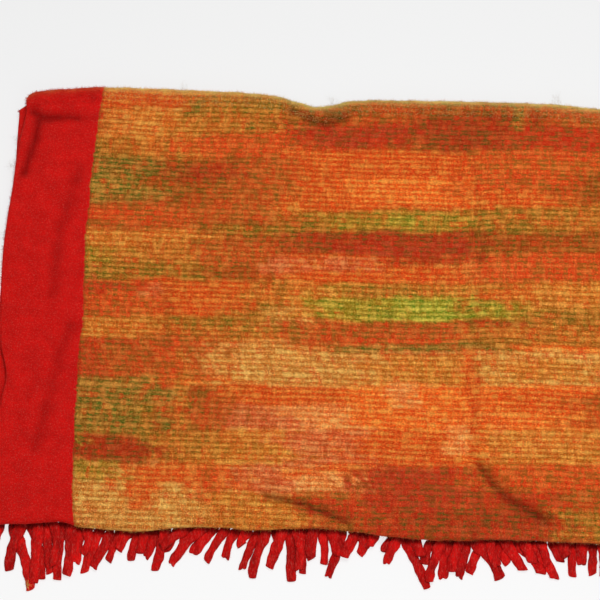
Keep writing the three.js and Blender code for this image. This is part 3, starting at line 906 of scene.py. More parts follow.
# %% Lay the dye on the cloth
def lay_dye(column, row, weft, streaks, seed):
    """Ground, line and fleck colour at each point, painted streak after streak."""
    shades = [np.tile(linear(colour), (len(column), 1)) for colour in SHADES["orange"]]
    jitter = ROW_JITTER * (chance(np.floor(weft) * 1.37 + seed) - 0.5)
    jitter = jitter + END_SWAY * ripple(column, row * 3, 60, 71)
    blotch = np.floor(column / BLOTCH_SIDE) * 17.3 + np.floor(row / BLOTCH_ROW) * 5.9
    stray = chance(np.arange(len(column)) * 0.613 + seed) + chance(blotch) - 1
    stray_row = chance(np.arange(len(column)) * 0.377 + seed + 0.7) + chance(blotch + 3.3) - 1
    y = row + ROW_SWAY * ripple(column, row, 90, 73) + stray_row * STRAY_ROW
    for left, right, top, bottom, shade in streaks:
        soft = min(SIDE_SOFT, (right - left) / 3)
        x = column + (jitter + stray * STRAY_SIDE) * soft / SIDE_SOFT
        inside = soft_step(left - soft, left + soft, x)
        inside = inside * soft_step(-right - soft, -right + soft, -x)
        inside = inside * soft_step(top - ROW_SOFT, top + ROW_SOFT, y)
        inside = inside * soft_step(-bottom - ROW_SOFT, -bottom + ROW_SOFT, -y)
        weight = STREAK_STRENGTH * inside[:, None]
        for k, colour in enumerate(SHADES[shade]):
            shades[k] = mix(shades[k], linear(colour), weight)
    return shades


FOLDED_DEPTH = 525
photo_y = np.clip(laid_y, 0, FOLDED_DEPTH)
dye_column, dye_row = in_photo(laid_x, photo_y, CAMERA_TARGET[2])
dye_row = dye_row + (photo_y - laid_y) / PHOTO_PITCH
all_streaks = seeded_streaks(*SEEDED_COLUMNS, dye_row.min(), dye_row.max(), 3.0)
for number, (left, right, top, bottom, shade) in enumerate(STREAKS):
    runs_on = mix(*RUNS_ON, chance(number + 0.9)) if right > PHOTO_SIDE else 0
    all_streaks.append((left, right + runs_on, top, bottom, shade))
weft_number = along / WEFT_PITCH
dye_ground, dye_line, dye_fleck = lay_dye(
    dye_column[grid_row, grid_column],
    dye_row[grid_row, grid_column],
    weft_number[grid_row, grid_column],
    all_streaks,
    5.0,
)
print(len(all_streaks), "streaks laid on", len(dye_ground), "points")

# %% [markdown]
# The shades are kept on the cloth as attributes of its points. So are three measures that the
# materials need: how far a point lies inside the striped body, how much painted shade a crease
# takes, and how much painted highlight the back fold takes.

# %% Dye, painted shade and painted highlight as attributes
def set_colour(mesh, name, colours):
    layer = mesh.attributes.new(name, "FLOAT_COLOR", "POINT")
    full = np.concatenate([colours, np.ones((len(colours), 1))], axis=1)
    layer.data.foreach_set("color", full.ravel())


def set_number(mesh, name, values):
    layer = mesh.attributes.new(name, "FLOAT", "POINT")
    layer.data.foreach_set("value", np.asarray(values, np.float32))


# Painted highlight along the back fold: the middle of its turn in the grid, and its reach in grid
# rows.
RIM_HIGHLIGHT_ROW = first_top - 4
RIM_HIGHLIGHT_REACH = 2.6
border_edge = follow(BORDER_LINE, laid_y)
into_body = np.minimum(laid_x - border_edge, CLOTH_WIDTH - laid_x - FAR_BORDER)
top_only = np.zeros(middle.shape[:2])
top_only[first_top:last_top + 1] = 1.0
# Painted shade in the creases of the top layer.
crease_shading = crease_shade(laid_x, laid_y) * top_only
# Painted highlight along the back fold, a little patchy across the width.
rim_highlight = np.exp(-(((np.arange(middle.shape[0]) - RIM_HIGHLIGHT_ROW) / RIM_HIGHLIGHT_REACH) ** 2))
patchy_rim_highlight = rim_highlight[:, None] * (0.75 + 0.25 * ripple(laid_x, 0, 30, 91))
set_colour(cloth_mesh, "dye_ground", dye_ground)
set_colour(cloth_mesh, "dye_line", dye_line)
set_colour(cloth_mesh, "dye_fleck", dye_fleck)
set_number(cloth_mesh, "into_body", into_body[grid_row, grid_column])
set_number(cloth_mesh, "crease_shade", crease_shading[grid_row, grid_column])
set_number(cloth_mesh, "rim_highlight", patchy_rim_highlight[grid_row, grid_column])
print("the cloth carries", len(cloth_mesh.attributes), "attributes")

# %% [markdown]
# The fringe locks are the ends of the warp, felted together by washing into flat soft straps with
# blunt ends. They leave their woven end under the front fold, lean to either side, cross and lie
# on each other. The table lists those in sight as they lie: place of the root, place of the tip,
# and how far the tip reaches from the front fold. The far ones are seeded with the same pitch.

# %% Fringe locks
STRIP_WIDTH = 8.0
STRIP_PART = 0.35
LOCK_WIDTH = 11.0
LOCK_SPREAD = 3.4
LOCK_THICK = 4.6
LOCK_PITCH = 10.6
NEAR_LOCKS = [
    (10, 8, 24), (17, 8, 46), (33, 58, 80), (42, 31, 60), (52, 69, 68), (60, 62, 73),
    (68, 77, 61), (77, 82, 54), (88, 86, 68), (97, 97, 63), (106, 104, 49), (117, 111, 39),
    (129, 116, 59), (140, 126, 54), (150, 141, 46), (160, 152, 34), (170, 166, 44), (179, 174, 36),
    (189, 181, 40), (202, 191, 54), (214, 203, 33), (226, 198, 30), (235, 222, 27), (244, 209, 47),
    (255, 233, 34), (268, 247, 42), (281, 268, 38), (292, 287, 23), (303, 288, 49), (313, 301, 58),
    (322, 326, 28), (331, 317, 46), (340, 344, 60), (348, 350, 48), (357, 354, 51), (366, 364, 35),
    (376, 377, 40), (386, 392, 30), (397, 383, 54), (409, 401, 32), (421, 417, 28), (432, 430, 20),
    (452, 446, 24), (460, 447, 37), (468, 491, 62), (477, 485, 28), (497, 489, 36), (507, 495, 55),
    (518, 508, 51), (527, 518, 43), (535, 526, 49), (543, 571, 49), (550, 538, 44), (559, 568, 36),
    (568, 581, 32), (577, 597, 38), (587, 617, 41), (597, 607, 30), (606, 631, 46), (617, 623, 32),
    (630, 639, 27), (642, 645, 22), (653, 651, 43), (663, 660, 30), (673, 673, 40), (683, 684, 36),
]
FAR_LOCKS_FROM = 692.0
FAR_LOCKS_TO = 1082.0

locks = list(NEAR_LOCKS)
far_count = round((FAR_LOCKS_TO - FAR_LOCKS_FROM) / LOCK_PITCH) + 1
for k in range(far_count):
    root = mix(FAR_LOCKS_FROM, FAR_LOCKS_TO, k / (far_count - 1))
    sway = 11 * math.sin(root * 0.031 + 1.2) + 5 * (chance(k + 31) - 0.5)
    locks.append((root, root + sway, 26 + 30 * chance(k + 77)))
print(len(locks), "locks in all")


# %% [markdown]
# One lock is a round bar from the operators, with rings along it and a small inset at each end.
# It is the pattern for all of them: its X and Y become the flat section, and its Z the way along
# the lock. The copies are joined as arrays, because the operator would do the same work 104
# times.

# %% Pattern bar, and many copies of it as one mesh
def pattern_bar(name, sides, rings):
    """Closed bar of radius 1 from z 0 to z 1, with evenly spaced rings."""
    bm = bmesh.new()
    bmesh.ops.create_cone(
        bm, cap_ends=True, cap_tris=False, segments=sides, radius1=1, radius2=1, depth=1
    )
    bmesh.ops.translate(bm, verts=bm.verts, vec=(0, 0, 0.5))
    upright = [e for e in bm.edges if abs(e.verts[0].co.z - e.verts[1].co.z) > 0.5]
    bmesh.ops.subdivide_edges(bm, edges=upright, cuts=rings - 2)
    ends = [f for f in bm.faces if abs(f.normal.z) > 0.5]
    bmesh.ops.inset_individual(bm, faces=ends, thickness=0.24)
    bmesh.ops.poke(bm, faces=ends)
    bm.normal_update()
    mesh = bpy.data.meshes.new(name)
    bm.to_mesh(mesh)
    bm.free()
    return mesh


def read_points(mesh):
    flat = np.zeros(len(mesh.vertices) * 3)
    mesh.vertices.foreach_get("co", flat)
    return flat.reshape(-1, 3)


def joined_copies(name, pattern, places):
    """One mesh of many copies of a pattern, with the places of all their points."""
    count = len(places)
    size = len(pattern.vertices)
    corners = np.zeros(len(pattern.loops), int)
    pattern.loops.foreach_get("vertex_index", corners)
    starts = np.zeros(len(pattern.polygons), int)
    pattern.polygons.foreach_get("loop_start", starts)
    mesh = bpy.data.meshes.new(name)
    mesh.vertices.add(count * size)
    mesh.vertices.foreach_set("co", np.asarray(places).ravel())
    mesh.loops.add(count * len(corners))
    shifted = corners[None, :] + size * np.arange(count)[:, None]
    mesh.loops.foreach_set("vertex_index", shifted.ravel())
    mesh.polygons.add(count * len(starts))
    offsets = starts[None, :] + len(corners) * np.arange(count)[:, None]
    mesh.polygons.foreach_set("loop_start", offsets.ravel())
    mesh.update(calc_edges=True)
    mesh.validate()
    shade_smooth(mesh)
    return mesh


LOCK_SIDES = 16
LOCK_RINGS = 30
STRIP_SIDES = 8
STRIP_RINGS = 160
lock_pattern = pattern_bar("lock_pattern", LOCK_SIDES, LOCK_RINGS)
strip_pattern = pattern_bar("strip_pattern", STRIP_SIDES, STRIP_RINGS)
print("one lock has", len(lock_pattern.polygons), "faces")

# %% [markdown]
# Each lock is laid down in turn, the lower fringe first. It looks at the heights that are already
# taken under its route, comes to rest on them in one soft curve, and marks its own height for the
# locks that follow. So none floats, and where two cross, the second one climbs over the first.

# %% Bed of heights and the route of a lock
BED_LEFT = -30.0
BED_FRONT = -95.0
BED_STEP = 0.5
BED_SHAPE = (260, 2320)
LAY_STEP = 0.4
ROOT_OVERLAP = 3
REACH_FROM = 3
LOCK_WIGGLE = 3.4
LOCK_BOW = 6.0
bed = np.zeros(BED_SHAPE)


def lock_route(index):
    """Way of one lock over the table: hidden length, free length, and a function of its route."""
    root, tip, reach = locks[index]
    end_place = third_end if index % 2 else bottom_end
    fold = float(front_reach(root))
    strip_front = float(end_place(root)) - STRIP_PART - STRIP_WIDTH
    free = reach + fold - REACH_FROM
    wiggle = LOCK_WIGGLE * (chance(index + 5) - 0.5)
    bow = LOCK_BOW * (chance(index + 405) - 0.5)
    back = strip_front + ROOT_OVERLAP

    def place(q):
        out = np.maximum(q, 0)
        lean = (tip - root) * (1 - (1 - np.minimum(out, 1)) ** 1.35)
        x = np.where(q < 0, root, root + lean + wiggle * np.sin(out * 4.4 + index))
        x = x + bow * np.sin(out * math.pi)
        y = np.where(q < 0, mix(fold, back, -np.minimum(q, 0)), fold - free * out)
        return x, y

    return back - fold, free, place


def smooth_line(values, reach):
    width = max(3, int(reach / LAY_STEP) | 1)
    padded = np.pad(values, width // 2, mode="edge")
    return np.convolve(padded, np.ones(width) / width, mode="valid")


def spread_line(values, reach):
    steps = int(reach / LAY_STEP)
    padded = np.pad(values, steps, mode="edge")
    return np.max([padded[k:k + len(values)] for k in range(2 * steps + 1)], axis=0)


print("bed of", BED_SHAPE[0] * BED_SHAPE[1], "heights")

# %% Let one lock settle on the bed
ROOT_THICK = 2.3
SETTLE = 0.7
NEST = 0.5
# Lengths over which a way, a thickness and a climb over other locks are evened out.
WAY_EVEN = 4
THICK_EVEN = 3
CLIMB_REACH = 2.4
CLIMB_EVEN = (5, 4, 3)
TABLE_GAP = 0.05
LOWER_START = 0.15
UPPER_START = 0.3
SIDEWAYS = np.linspace(-1, 1, 25)
ROUNDING = np.sqrt(1 - 0.96 * SIDEWAYS**2)

# Section along a lock: way from the fold (0) to the tip (1), width share, thickness share.
LOCK_WIDTHS = [(-1, 0.8), (-0.12, 1.12), (0.12, 1.14), (0.36, 1.0), (0.84, 0.94), (1, 0.8)]
LOCK_DEPTHS = [(-1, 0.5), (-0.12, 0.5), (0.12, 0.86), (0.3, 1.0), (0.84, 0.96), (1, 0.8)]


def settle_lock(index):
    """Values along one lock's middle line, from its hidden root to its tip, once it lies."""
    upper = index % 2 == 1
    hidden, free, place = lock_route(index)
    width = LOCK_WIDTH + LOCK_SPREAD * (chance(index + 211) - 0.5)
    walk = np.linspace(0, hidden + free, int((hidden + free) / LAY_STEP))
    q = np.where(walk < hidden, walk / hidden - 1, (walk - hidden) / free)
    x, y = place(q)
    way_x = np.gradient(x)
    way_y = np.gradient(y)
    size = np.hypot(way_x, way_y)
    way_x = smooth_line(way_x / size, WAY_EVEN)
    way_y = smooth_line(way_y / size, WAY_EVEN)
    lumps = 1 + 0.08 * np.sin(walk * 0.19 + index * 1.7) + 0.04 * np.sin(walk * 0.53 + index)
    half = follow(LOCK_WIDTHS, q) * width / 2 * lumps
    thick = follow(LOCK_DEPTHS, q) * LOCK_THICK
    thick = np.where(q < -0.05, np.minimum(thick, ROOT_THICK), thick)
    thick = smooth_line(thick, THICK_EVEN)
    side = SIDEWAYS[None, :] * half[:, None]
    column = np.rint((x[:, None] - way_y[:, None] * side - BED_LEFT) / BED_STEP).astype(int)
    row = np.rint((y[:, None] + way_x[:, None] * side - BED_FRONT) / BED_STEP).astype(int)
    taken = bed[row, column]
    hollow = (1 - ROUNDING[None, :]) * thick[:, None] * NEST
    need = np.where(taken > 0, taken - hollow - SETTLE, TABLE_GAP).max(axis=1)
    need = np.maximum(need, TABLE_GAP)
    level = smooth_line(spread_line(need, CLIMB_REACH), CLIMB_EVEN[0])
    level = smooth_line(level, CLIMB_EVEN[1])
    start = Z_THIRD - SHEET / 2 + UPPER_START if upper else LOWER_START
    fall = soft_step(-0.1, 0.32 if upper else 0.1, q)
    level = np.where(q < 0, start, mix(np.maximum(start, level) if upper else start, level, fall))
    level = smooth_line(level, CLIMB_EVEN[2])
    top = level[:, None] + thick[:, None] * (0.5 + 0.5 * ROUNDING[None, :])
    np.maximum.at(bed, (row, column), np.where(q[:, None] > -0.02, top, 0))
    return {
        "walk": walk, "q": q, "x": x, "y": y, "way_x": way_x, "way_y": way_y,
        "half": half, "thick": thick, "level": level,
    }


print("the sole of a lock is felt for at", len(SIDEWAYS), "places")

# %% [markdown]
# Along its settled line the pattern bar becomes a lock: a flat oval section that twists a little,
# a shallow groove where the yarns were twisted together, small felted lumps, and a slanting or
# split end. The strip that carries the locks is the same kind of bar, laid straight along the
# woven end.

# %% Lay the locks down
TWIST = 0.3
SLANT = 5.0
SPLIT = 1.8
GROOVE = 0.16
PAST_TIP = 4
SHADED_REACH = 5.0


def lay_lock(index):
    """Places of one lock's pattern points, in cloth millimetres."""
    line = settle_lock(index)
    hidden, free, place = lock_route(index)
    whole = hidden + free
    bar_x, bar_y, bar_z = read_points(lock_pattern).T
    t = bar_z * whole
    twist = TWIST * np.sin(t * 0.13 + index * 2.1)
    across_share = bar_x * np.cos(twist) - bar_y * np.sin(twist)
    up_share = bar_y * np.cos(twist) + bar_x * np.sin(twist)
    slant = SLANT * (chance(index + 61) - 0.5)
    split = SPLIT * soft_step(0.72, 0.9, chance(index + 93))
    near_tip = soft_step(hidden + 0.72 * free, whole, t)
    t = t + near_tip * (slant * bar_x - split * np.exp(-((bar_x / 0.3) ** 2)))
    t = t - np.where(bar_z > 0.999, 1.1 * np.hypot(bar_x, bar_y) ** 5, 0)
    t = np.clip(t, 0, whole + PAST_TIP)
    reach = np.minimum(t, whole)

    def at(key):
        return np.interp(reach, line["walk"], line[key])

    out = across_share * at("half")
    groove = GROOVE * np.exp(-(((bar_x - 0.2 * math.sin(index)) / 0.22) ** 2))
    groove = groove * np.where(bar_y > 0, 1, 0) * soft_step(-0.2, 0.4, at("q"))
    lift = at("thick") * (0.5 + 0.5 * up_share * (1 - groove))
    felt = 0.4 * ripple(t + 40 * index, 2 * out + 5 * bar_y, 14, 301)
    felt = felt + 0.14 * ripple(t + 40 * index, 2 * out + 5 * bar_y, 6, 307)
    out = out * (1 + felt / 6)
    px = at("x") + (t - reach) * at("way_x") - at("way_y") * out
    py = at("y") + (t - reach) * at("way_y") + at("way_x") * out
    pz = at("level") + lift + felt * (bar_y > -0.3)
    return np.stack([px, py, np.maximum(pz, 0.02)], axis=-1)


def lock_fold_share(index, share):
    """0 under the fold and 1 from SHADED_REACH past it, for shares of a lock's whole length."""
    hidden, free, place = lock_route(index)
    return soft_step(-1.0, SHADED_REACH, share * (hidden + free) - hidden)


def lay_strip(v, end_place, low):
    """Narrow woven strip that carries the locks, just in front of a woven end."""
    points = read_points(strip_pattern)
    x = selvedge_place(v, points[:, 2])
    y = end_place(x) - STRIP_PART - STRIP_WIDTH / 2 + points[:, 0] * STRIP_WIDTH / 2
    z = low + SHEET / 2 + points[:, 1] * SHEET / 2
    return np.stack([x, y, z], axis=-1)


lock_places = {}
for parity in (0, 1):
    for index in range(parity, len(locks), 2):
        lock_places[index] = lay_lock(index)
print("highest lock", round(float(bed.max()), 1), "mm")

# %% Join the locks of each woven end with their strip
FRINGES = {
    "lower": (0, 0.0, bottom_end, 0.0),
    "upper": (1, 4.0, third_end, Z_THIRD - SHEET / 2),
}
fringe_pieces = {}
for name, (parity, v, end_place, low) in FRINGES.items():
    members = range(parity, len(locks), 2)
    places = to_frame([lock_places[index] for index in members])
    lock_mesh = joined_copies("fringe_" + name + "_felted", lock_pattern, places)
    tints = np.repeat([chance(index + 17) for index in members], len(lock_pattern.vertices))
    strip_places = to_frame([lay_strip(v, end_place, low)])
    strip_mesh = joined_copies("strip_" + name, strip_pattern, strip_places)
    bm = bmesh.new()
    bm.from_mesh(lock_mesh)
    bm.from_mesh(strip_mesh)
    bm.to_mesh(lock_mesh)
    bm.free()
    bpy.data.meshes.remove(strip_mesh)
    tints = np.concatenate([tints, np.full(len(strip_pattern.vertices), 0.5)])
    set_number(lock_mesh, "tint", tints)
    bar_ways = read_points(lock_pattern)[:, 2]
    ways_out = [lock_fold_share(index, bar_ways) for index in members]
    ways_out.append(np.zeros(len(strip_pattern.vertices)))
    set_number(lock_mesh, "from_fold", np.concatenate(ways_out))
    fringe_pieces[name] = show("fringe_" + name + "_locks", lock_mesh)
    print("fringe", name, "has", len(lock_mesh.polygons), "faces")
bpy.data.meshes.remove(strip_pattern)

# %% [markdown]
# Brushed wool is never bare: fibres stand off every edge and lie over the rows. They are thin
# three-sided hairs with a bend, made from one pattern and joined as arrays, because a single hair
# is nothing to look at and tens of thousands of them are what softens the outline.

# %% Pattern of one loose fibre
TABLE_SKIN = 0.05
hair_pattern = bpy.data.meshes.new("hair_pattern")
bm = bmesh.new()
bmesh.ops.create_cone(bm, cap_ends=True, cap_tris=True, segments=3, radius1=1, radius2=1, depth=1)
bmesh.ops.translate(bm, verts=bm.verts, vec=(0, 0, 0.5))
upright = [e for e in bm.edges if abs(e.verts[0].co.z - e.verts[1].co.z) > 0.5]
bmesh.ops.subdivide_edges(bm, edges=upright, cuts=1)
high = [v for v in bm.verts if v.co.z > 0.9]
bmesh.ops.pointmerge(bm, verts=high, merge_co=(0, 0, 1))
bm.normal_update()
bm.to_mesh(hair_pattern)
bm.free()
print("one hair has", len(hair_pattern.polygons), "faces")


def unit(vectors):
    return vectors / np.maximum(np.linalg.norm(vectors, axis=-1, keepdims=True), 1e-9)


def hairs(name, roots, ways, bends, lengths, girth, colours):
    """Mesh of hairs: roots, ways and bends are points and vectors in millimetres."""
    pattern = read_points(hair_pattern)
    ways = unit(ways)
    side = unit(np.cross(ways, bends + np.array([0.013, 0.027, 0.011])))
    other = np.cross(ways, side)
    t = pattern[:, 2]
    slim = np.where(t > 0.9, 0.0, np.where(t > 0.4, 0.7, 1.0)) * girth / 2
    spine = roots[:, None, :] + (ways * lengths[:, None])[:, None, :] * t[None, :, None]
    spine = spine + bends[:, None, :] * (t * t)[None, :, None]
    ring = side[:, None, :] * (pattern[:, 0] * slim)[None, :, None]
    ring = ring + other[:, None, :] * (pattern[:, 1] * slim)[None, :, None]
    places = spine + ring
    places[:, :, 2] = np.maximum(places[:, :, 2], TABLE_SKIN)
    mesh = joined_copies(name, hair_pattern, to_frame(places))
    set_colour(mesh, "hair_dye", np.repeat(colours, len(pattern), axis=0))
    return mesh


# %% [markdown]
# Hairs on the cloth take the dye of the place where they stand. On the top they lie nearly flat
# as the nap, and round the two folds they stand out as a halo. The halo of the back fold is mixed
# palest of all, a painted highlight for the light that its hairs catch along the outline.

# %% Hairs on the cloth
BORDER_RED = linear((205, 16, 12))
# Pale of the loose fibres; on the back fold's halo it is a painted highlight.
HAIR_PALE_AND_HIGHLIGHT = linear((246, 238, 150))
ROOT_DEPTH = 0.15
HAIR_BEND = 0.35
HAIR_DROOP = 0.12
# Name, number, seed, first and last grid row, how far they stand up, length, girth, paleness;
# the full paleness of the back halo is a painted highlight.
NAPS = [
    ("nap_top", 15000, 1.1, first_top, last_top, 0.22, 4.6, 0.26, 0.25),
    ("halo_back", 16400, 2.2, first_top - TURN_ROWS + 3, first_top + 4, 0.55, 3.0, 0.28, 1.0),
    ("halo_front", 7000, 3.3, last_top - 4, last_top + TURN_ROWS - 2, 0.55, 2.6, 0.22, 0.25),
]
dye_line_grid = np.zeros(middle.shape)
dye_line_grid[grid_row, grid_column] = dye_line
dye_ground_grid = np.zeros(middle.shape)
dye_ground_grid[grid_row, grid_column] = dye_ground


def spread(count, seed):
    """Even but unordered numbers between 0 and 1."""
    return chance(np.arange(count) * 0.731 + seed)


def tangle(count, seed):
    """Directions to all sides."""
    return np.stack([spread(count, seed + k * 0.29) * 2 - 1 for k in range(3)], axis=-1)


def cloth_spots(count, seed, rows_from, rows_to):
    """Spots on the cloth's middle surface, with their outward direction and place in the grid."""
    r = mix(rows_from, rows_to, spread(count, seed))
    wanted = mix(across[0], across[-1], spread(count, seed + 0.37))
    c = np.interp(wanted, across, np.arange(len(across)))
    i = np.clip(r.astype(int), 0, middle.shape[0] - 2)
    j = np.clip(c.astype(int), 0, middle.shape[1] - 2)
    a = (r - i)[:, None]
    b = (c - j)[:, None]
    low_side = mix(middle[i, j], middle[i, j + 1], b)
    high_side = mix(middle[i + 1, j], middle[i + 1, j + 1], b)
    outward = unit(np.cross(high_side - low_side, middle[i, j + 1] - middle[i, j]))
    return mix(low_side, high_side, a), outward, i, j


def spot_dye(i, j, seed, pale):
    share = 0.35 + 0.65 * spread(len(i), seed)[:, None]
    body = mix(dye_ground_grid[i, j], dye_line_grid[i, j], share)
    body = mix(body, HAIR_PALE_AND_HIGHLIGHT, (pale * spread(len(i), seed + 0.61))[:, None])
    in_border = (into_body[i, j] < 0)[:, None]
    return np.where(in_border, BORDER_RED * 1.1, body)


def nap(name, count, seed, rows_from, rows_to, stand, length, girth, pale):
    spot, outward, i, j = cloth_spots(count, seed, rows_from, rows_to)
    root = spot + outward * (SHEET / 2 - ROOT_DEPTH)
    lie = tangle(count, seed + 2)
    lie = unit(lie - outward * np.sum(lie * outward, axis=1, keepdims=True))
    way = lie * (1 - stand) + outward * stand
    lengths = length * (0.5 + spread(count, seed + 5))
    bend = unit(tangle(count, seed + 7)) * lengths[:, None] * HAIR_BEND
    bend = bend - outward * lengths[:, None] * HAIR_DROOP
    return hairs(name, root, way, bend, lengths, girth, spot_dye(i, j, seed + 9, pale))


hair_meshes = {row[0]: nap(*row) for row in NAPS}
print("hairs on the cloth:", sum(row[1] for row in NAPS))

# %% [markdown]
# The selvedges and the locks are all one crimson. Their hairs are shorter, because nothing rubs
# against them but the next layer, and they point away from the edge or lock that they stand on.

# %% Hairs of the selvedges and the locks
SELVEDGE_LENGTH = 2.6
SELVEDGE_GIRTH = 0.22
LOCK_HAIRS = 90
LOCK_HAIR_LENGTH = 1.4
LOCK_HAIR_GIRTH = 0.15


def selvedge_hairs(name, count, seed, column, way_x):
    r = spread(count, seed) * (middle.shape[0] - 2)
    i = r.astype(int)
    spot = mix(middle[i, column], middle[i + 1, column], (r - i)[:, None])
    way = tangle(count, seed + 2) * 0.7 + np.array([way_x, 0.0, 0.1])
    lengths = SELVEDGE_LENGTH * (0.4 + spread(count, seed + 5))
    bend = tangle(count, seed + 7) * lengths[:, None] * 0.4
    return hairs(name, spot, way, bend, lengths, SELVEDGE_GIRTH, np.tile(BORDER_RED, (count, 1)))


def fringe_hairs(name, parity, seed):
    pattern = read_points(lock_pattern)
    free = np.nonzero((pattern[:, 2] > 0.2) & (pattern[:, 1] > -0.4))[0]
    roots = []
    ways = []
    for index in range(parity, len(locks), 2):
        pick = free[(spread(LOCK_HAIRS, seed + index) * len(free)).astype(int)]
        side = pattern[pick, 0]
        up = np.maximum(pattern[pick, 1], 0.1)
        roots.append(lock_places[index][pick])
        ways.append(unit(np.stack([side, np.full_like(side, -0.3), up], axis=-1)))
    roots = np.concatenate(roots)
    count = len(roots)
    ways = np.concatenate(ways) + 0.7 * tangle(count, seed + 2)
    lengths = LOCK_HAIR_LENGTH * (0.4 + spread(count, seed + 5))
    bend = tangle(count, seed + 7) * lengths[:, None] * 0.5
    shade = 1.0 + 0.6 * spread(count, seed + 9)[:, None]
    return hairs(name, roots, ways, bend, lengths, LOCK_HAIR_GIRTH, BORDER_RED * shade)


hair_meshes["halo_left"] = selvedge_hairs("halo_left", 2600, 4.4, 0, -1.0)
hair_meshes["halo_right"] = selvedge_hairs("halo_right", 1600, 5.5, -1, 1.0)
print("hairs on each lock:", LOCK_HAIRS)

# %% [markdown]
# A few wisps have worked loose altogether: thin grey tangles at the edges, and a pinch of straw
# yarn ends that stick to the tip of one lock. Each is a small crowd of longer hairs.

# %% Wisps
WISP_LENGTH = 8.0
WISP_GIRTH = 0.12
WISP_BEND = 5.0
WISP_GREY = linear((196, 184, 172))
STRAW_ENDS = linear((250, 205, 112))
# Place on the table or edge, way out from the cloth, number of hairs, how far they scatter.
WISPS = [
    ((188, 522, 12), (0.3, 1.0, 0.1), 70, 4.5),
    ((372, 512, 12), (-0.4, 1.0, 0.1), 60, 4.5),
    ((640, 524, 12), (-0.2, 1.0, 0.1), 70, 4.5),
    ((2, 452, 10), (-1.0, 0.3, 0.1), 70, 4.5),
    ((-2, 424, 10), (-1.0, -0.4, 0.1), 60, 4.5),
    ((-6, 330, 8), (-1.0, 0.2, 0.1), 40, 4.5),
    ((905, 524, 12), (0.4, 1.0, 0.1), 60, 4.5),
    ((55, -66, 8), (0.1, -1.0, 0.0), 60, 0.6),
]


def for_each_wisp_hair(column):
    return np.concatenate([np.tile(row[column], (row[2], 1)) for row in WISPS]).astype(float)


wisp_roots = for_each_wisp_hair(0)
wisp_ways = for_each_wisp_hair(1)
wisp_scatter = for_each_wisp_hair(3)
wisp_count = len(wisp_roots)
wisp_far = (WISP_LENGTH * spread(wisp_count, 8.1))[:, None]
wisp_roots = wisp_roots + unit(wisp_ways) * wisp_far + wisp_scatter * tangle(wisp_count, 8.4)
hair_meshes["wisps"] = hairs(
    "wisps",
    wisp_roots,
    wisp_ways + 1.2 * tangle(wisp_count, 8.6),
    WISP_BEND * tangle(wisp_count, 8.8),
    WISP_LENGTH * (0.3 + 0.5 * spread(wisp_count, 8.9)),
    WISP_GIRTH,
    np.where(wisp_scatter < 1, STRAW_ENDS, WISP_GREY),
)
hair_meshes["fuzz_lower"] = fringe_hairs("fuzz_lower", 0, 6.6)
hair_meshes["fuzz_upper"] = fringe_hairs("fuzz_upper", 1, 7.7)
hair_pieces = {}
for name, mesh in hair_meshes.items():
    hair_pieces[name] = show(name, mesh)
    print(name, len(mesh.polygons), "faces")


# %% [markdown]
# Materials next. Three effects are shared: the woven rows, the felted surface of border and
# fringe, and the fine fibre over both. Each is a node group with named inputs, so that the cloth
# and the fringe can use the same one with their own values.

# %% Small helpers for node trees
VECTOR = "NodeSocketVector"
NUMBER = "NodeSocketFloat"
COLOUR = "NodeSocketColor"


def put(tree, kind, wires=None, **settings):
    """New node with its settings; each wire is a socket to link or a value to set."""
    node = tree.nodes.new(kind)
    node.location = (190 * (len(tree.nodes) % 9), -230 * (len(tree.nodes) // 9))
    for key, value in settings.items():
        setattr(node, key, value)
    for key, value in (wires or {}).items():
        if isinstance(value, bpy.types.NodeSocket):
            tree.links.new(value, node.inputs[key])
        else:
            node.inputs[key].default_value = value
    return node


def lead(tree, inputs, wires):
    for label, socket in wires.items():
        tree.links.new(socket, inputs[label])


def calc(tree, operation, *values, clamp=False):
    wires = dict(enumerate(values))
    return put(tree, "ShaderNodeMath", wires, operation=operation, use_clamp=clamp).outputs[0]


def times(tree, first, second):
    return calc(tree, "MULTIPLY", first, second)


def times_plus(tree, value, factor, added):
    return calc(tree, "MULTIPLY_ADD", value, factor, added)


def about_zero(tree, value):
    return calc(tree, "SUBTRACT", value, 0.5)


print("helpers for nodes and numbers are ready")

# %% [markdown]
# Wool needs a few more: a soft ramp between two values, a noise, a vector or colour times a
# number, and a lot, which gives each yarn or crossing of two yarns its own even number.

# %% Helpers for noise, colours and vectors
def blend(tree, share, first, second):
    wires = {0: share, 6: first, 7: second}
    return put(tree, "ShaderNodeMix", wires, data_type="RGBA", blend_type="MIX").outputs[2]


def ramp(tree, value, low, high, to_low=0.0, to_high=1.0):
    wires = {"Value": value, "From Min": low, "From Max": high, "To Min": to_low, "To Max": to_high}
    node = put(tree, "ShaderNodeMapRange", wires, interpolation_type="SMOOTHSTEP")
    return node.outputs["Result"]


def grain(tree, place, scale, detail=2.0, roughness=0.5, distortion=0.0):
    wires = {
        "Vector": place, "Scale": scale, "Detail": detail, "Roughness": roughness,
        "Distortion": distortion,
    }
    return put(tree, "ShaderNodeTexNoise", wires, noise_dimensions="3D").outputs["Fac"]


def triple(tree, x, y, z=0.0):
    return put(tree, "ShaderNodeCombineXYZ", {0: x, 1: y, 2: z}).outputs[0]


def vector_calc(tree, operation, wires):
    return put(tree, "ShaderNodeVectorMath", wires, operation=operation).outputs[0]


def dimmed(tree, colour, light):
    """Colour or vector multiplied by a number."""
    return vector_calc(tree, "SCALE", {0: colour, "Scale": light})


def lot(tree, first, second):
    """One even number between 0 and 1 for each pair of whole numbers."""
    wires = {"Vector": triple(tree, first, second)}
    return put(tree, "ShaderNodeTexWhiteNoise", wires, noise_dimensions="2D").outputs["Value"]


def solid(colour):
    return (*colour, 1)


print("helpers for noise, colours and vectors are ready")

# %% [markdown]
# A node group is built once and placed in each material that needs it. Its sockets are named
# first, and what it puts out are only colours and numbers that change over the surface.

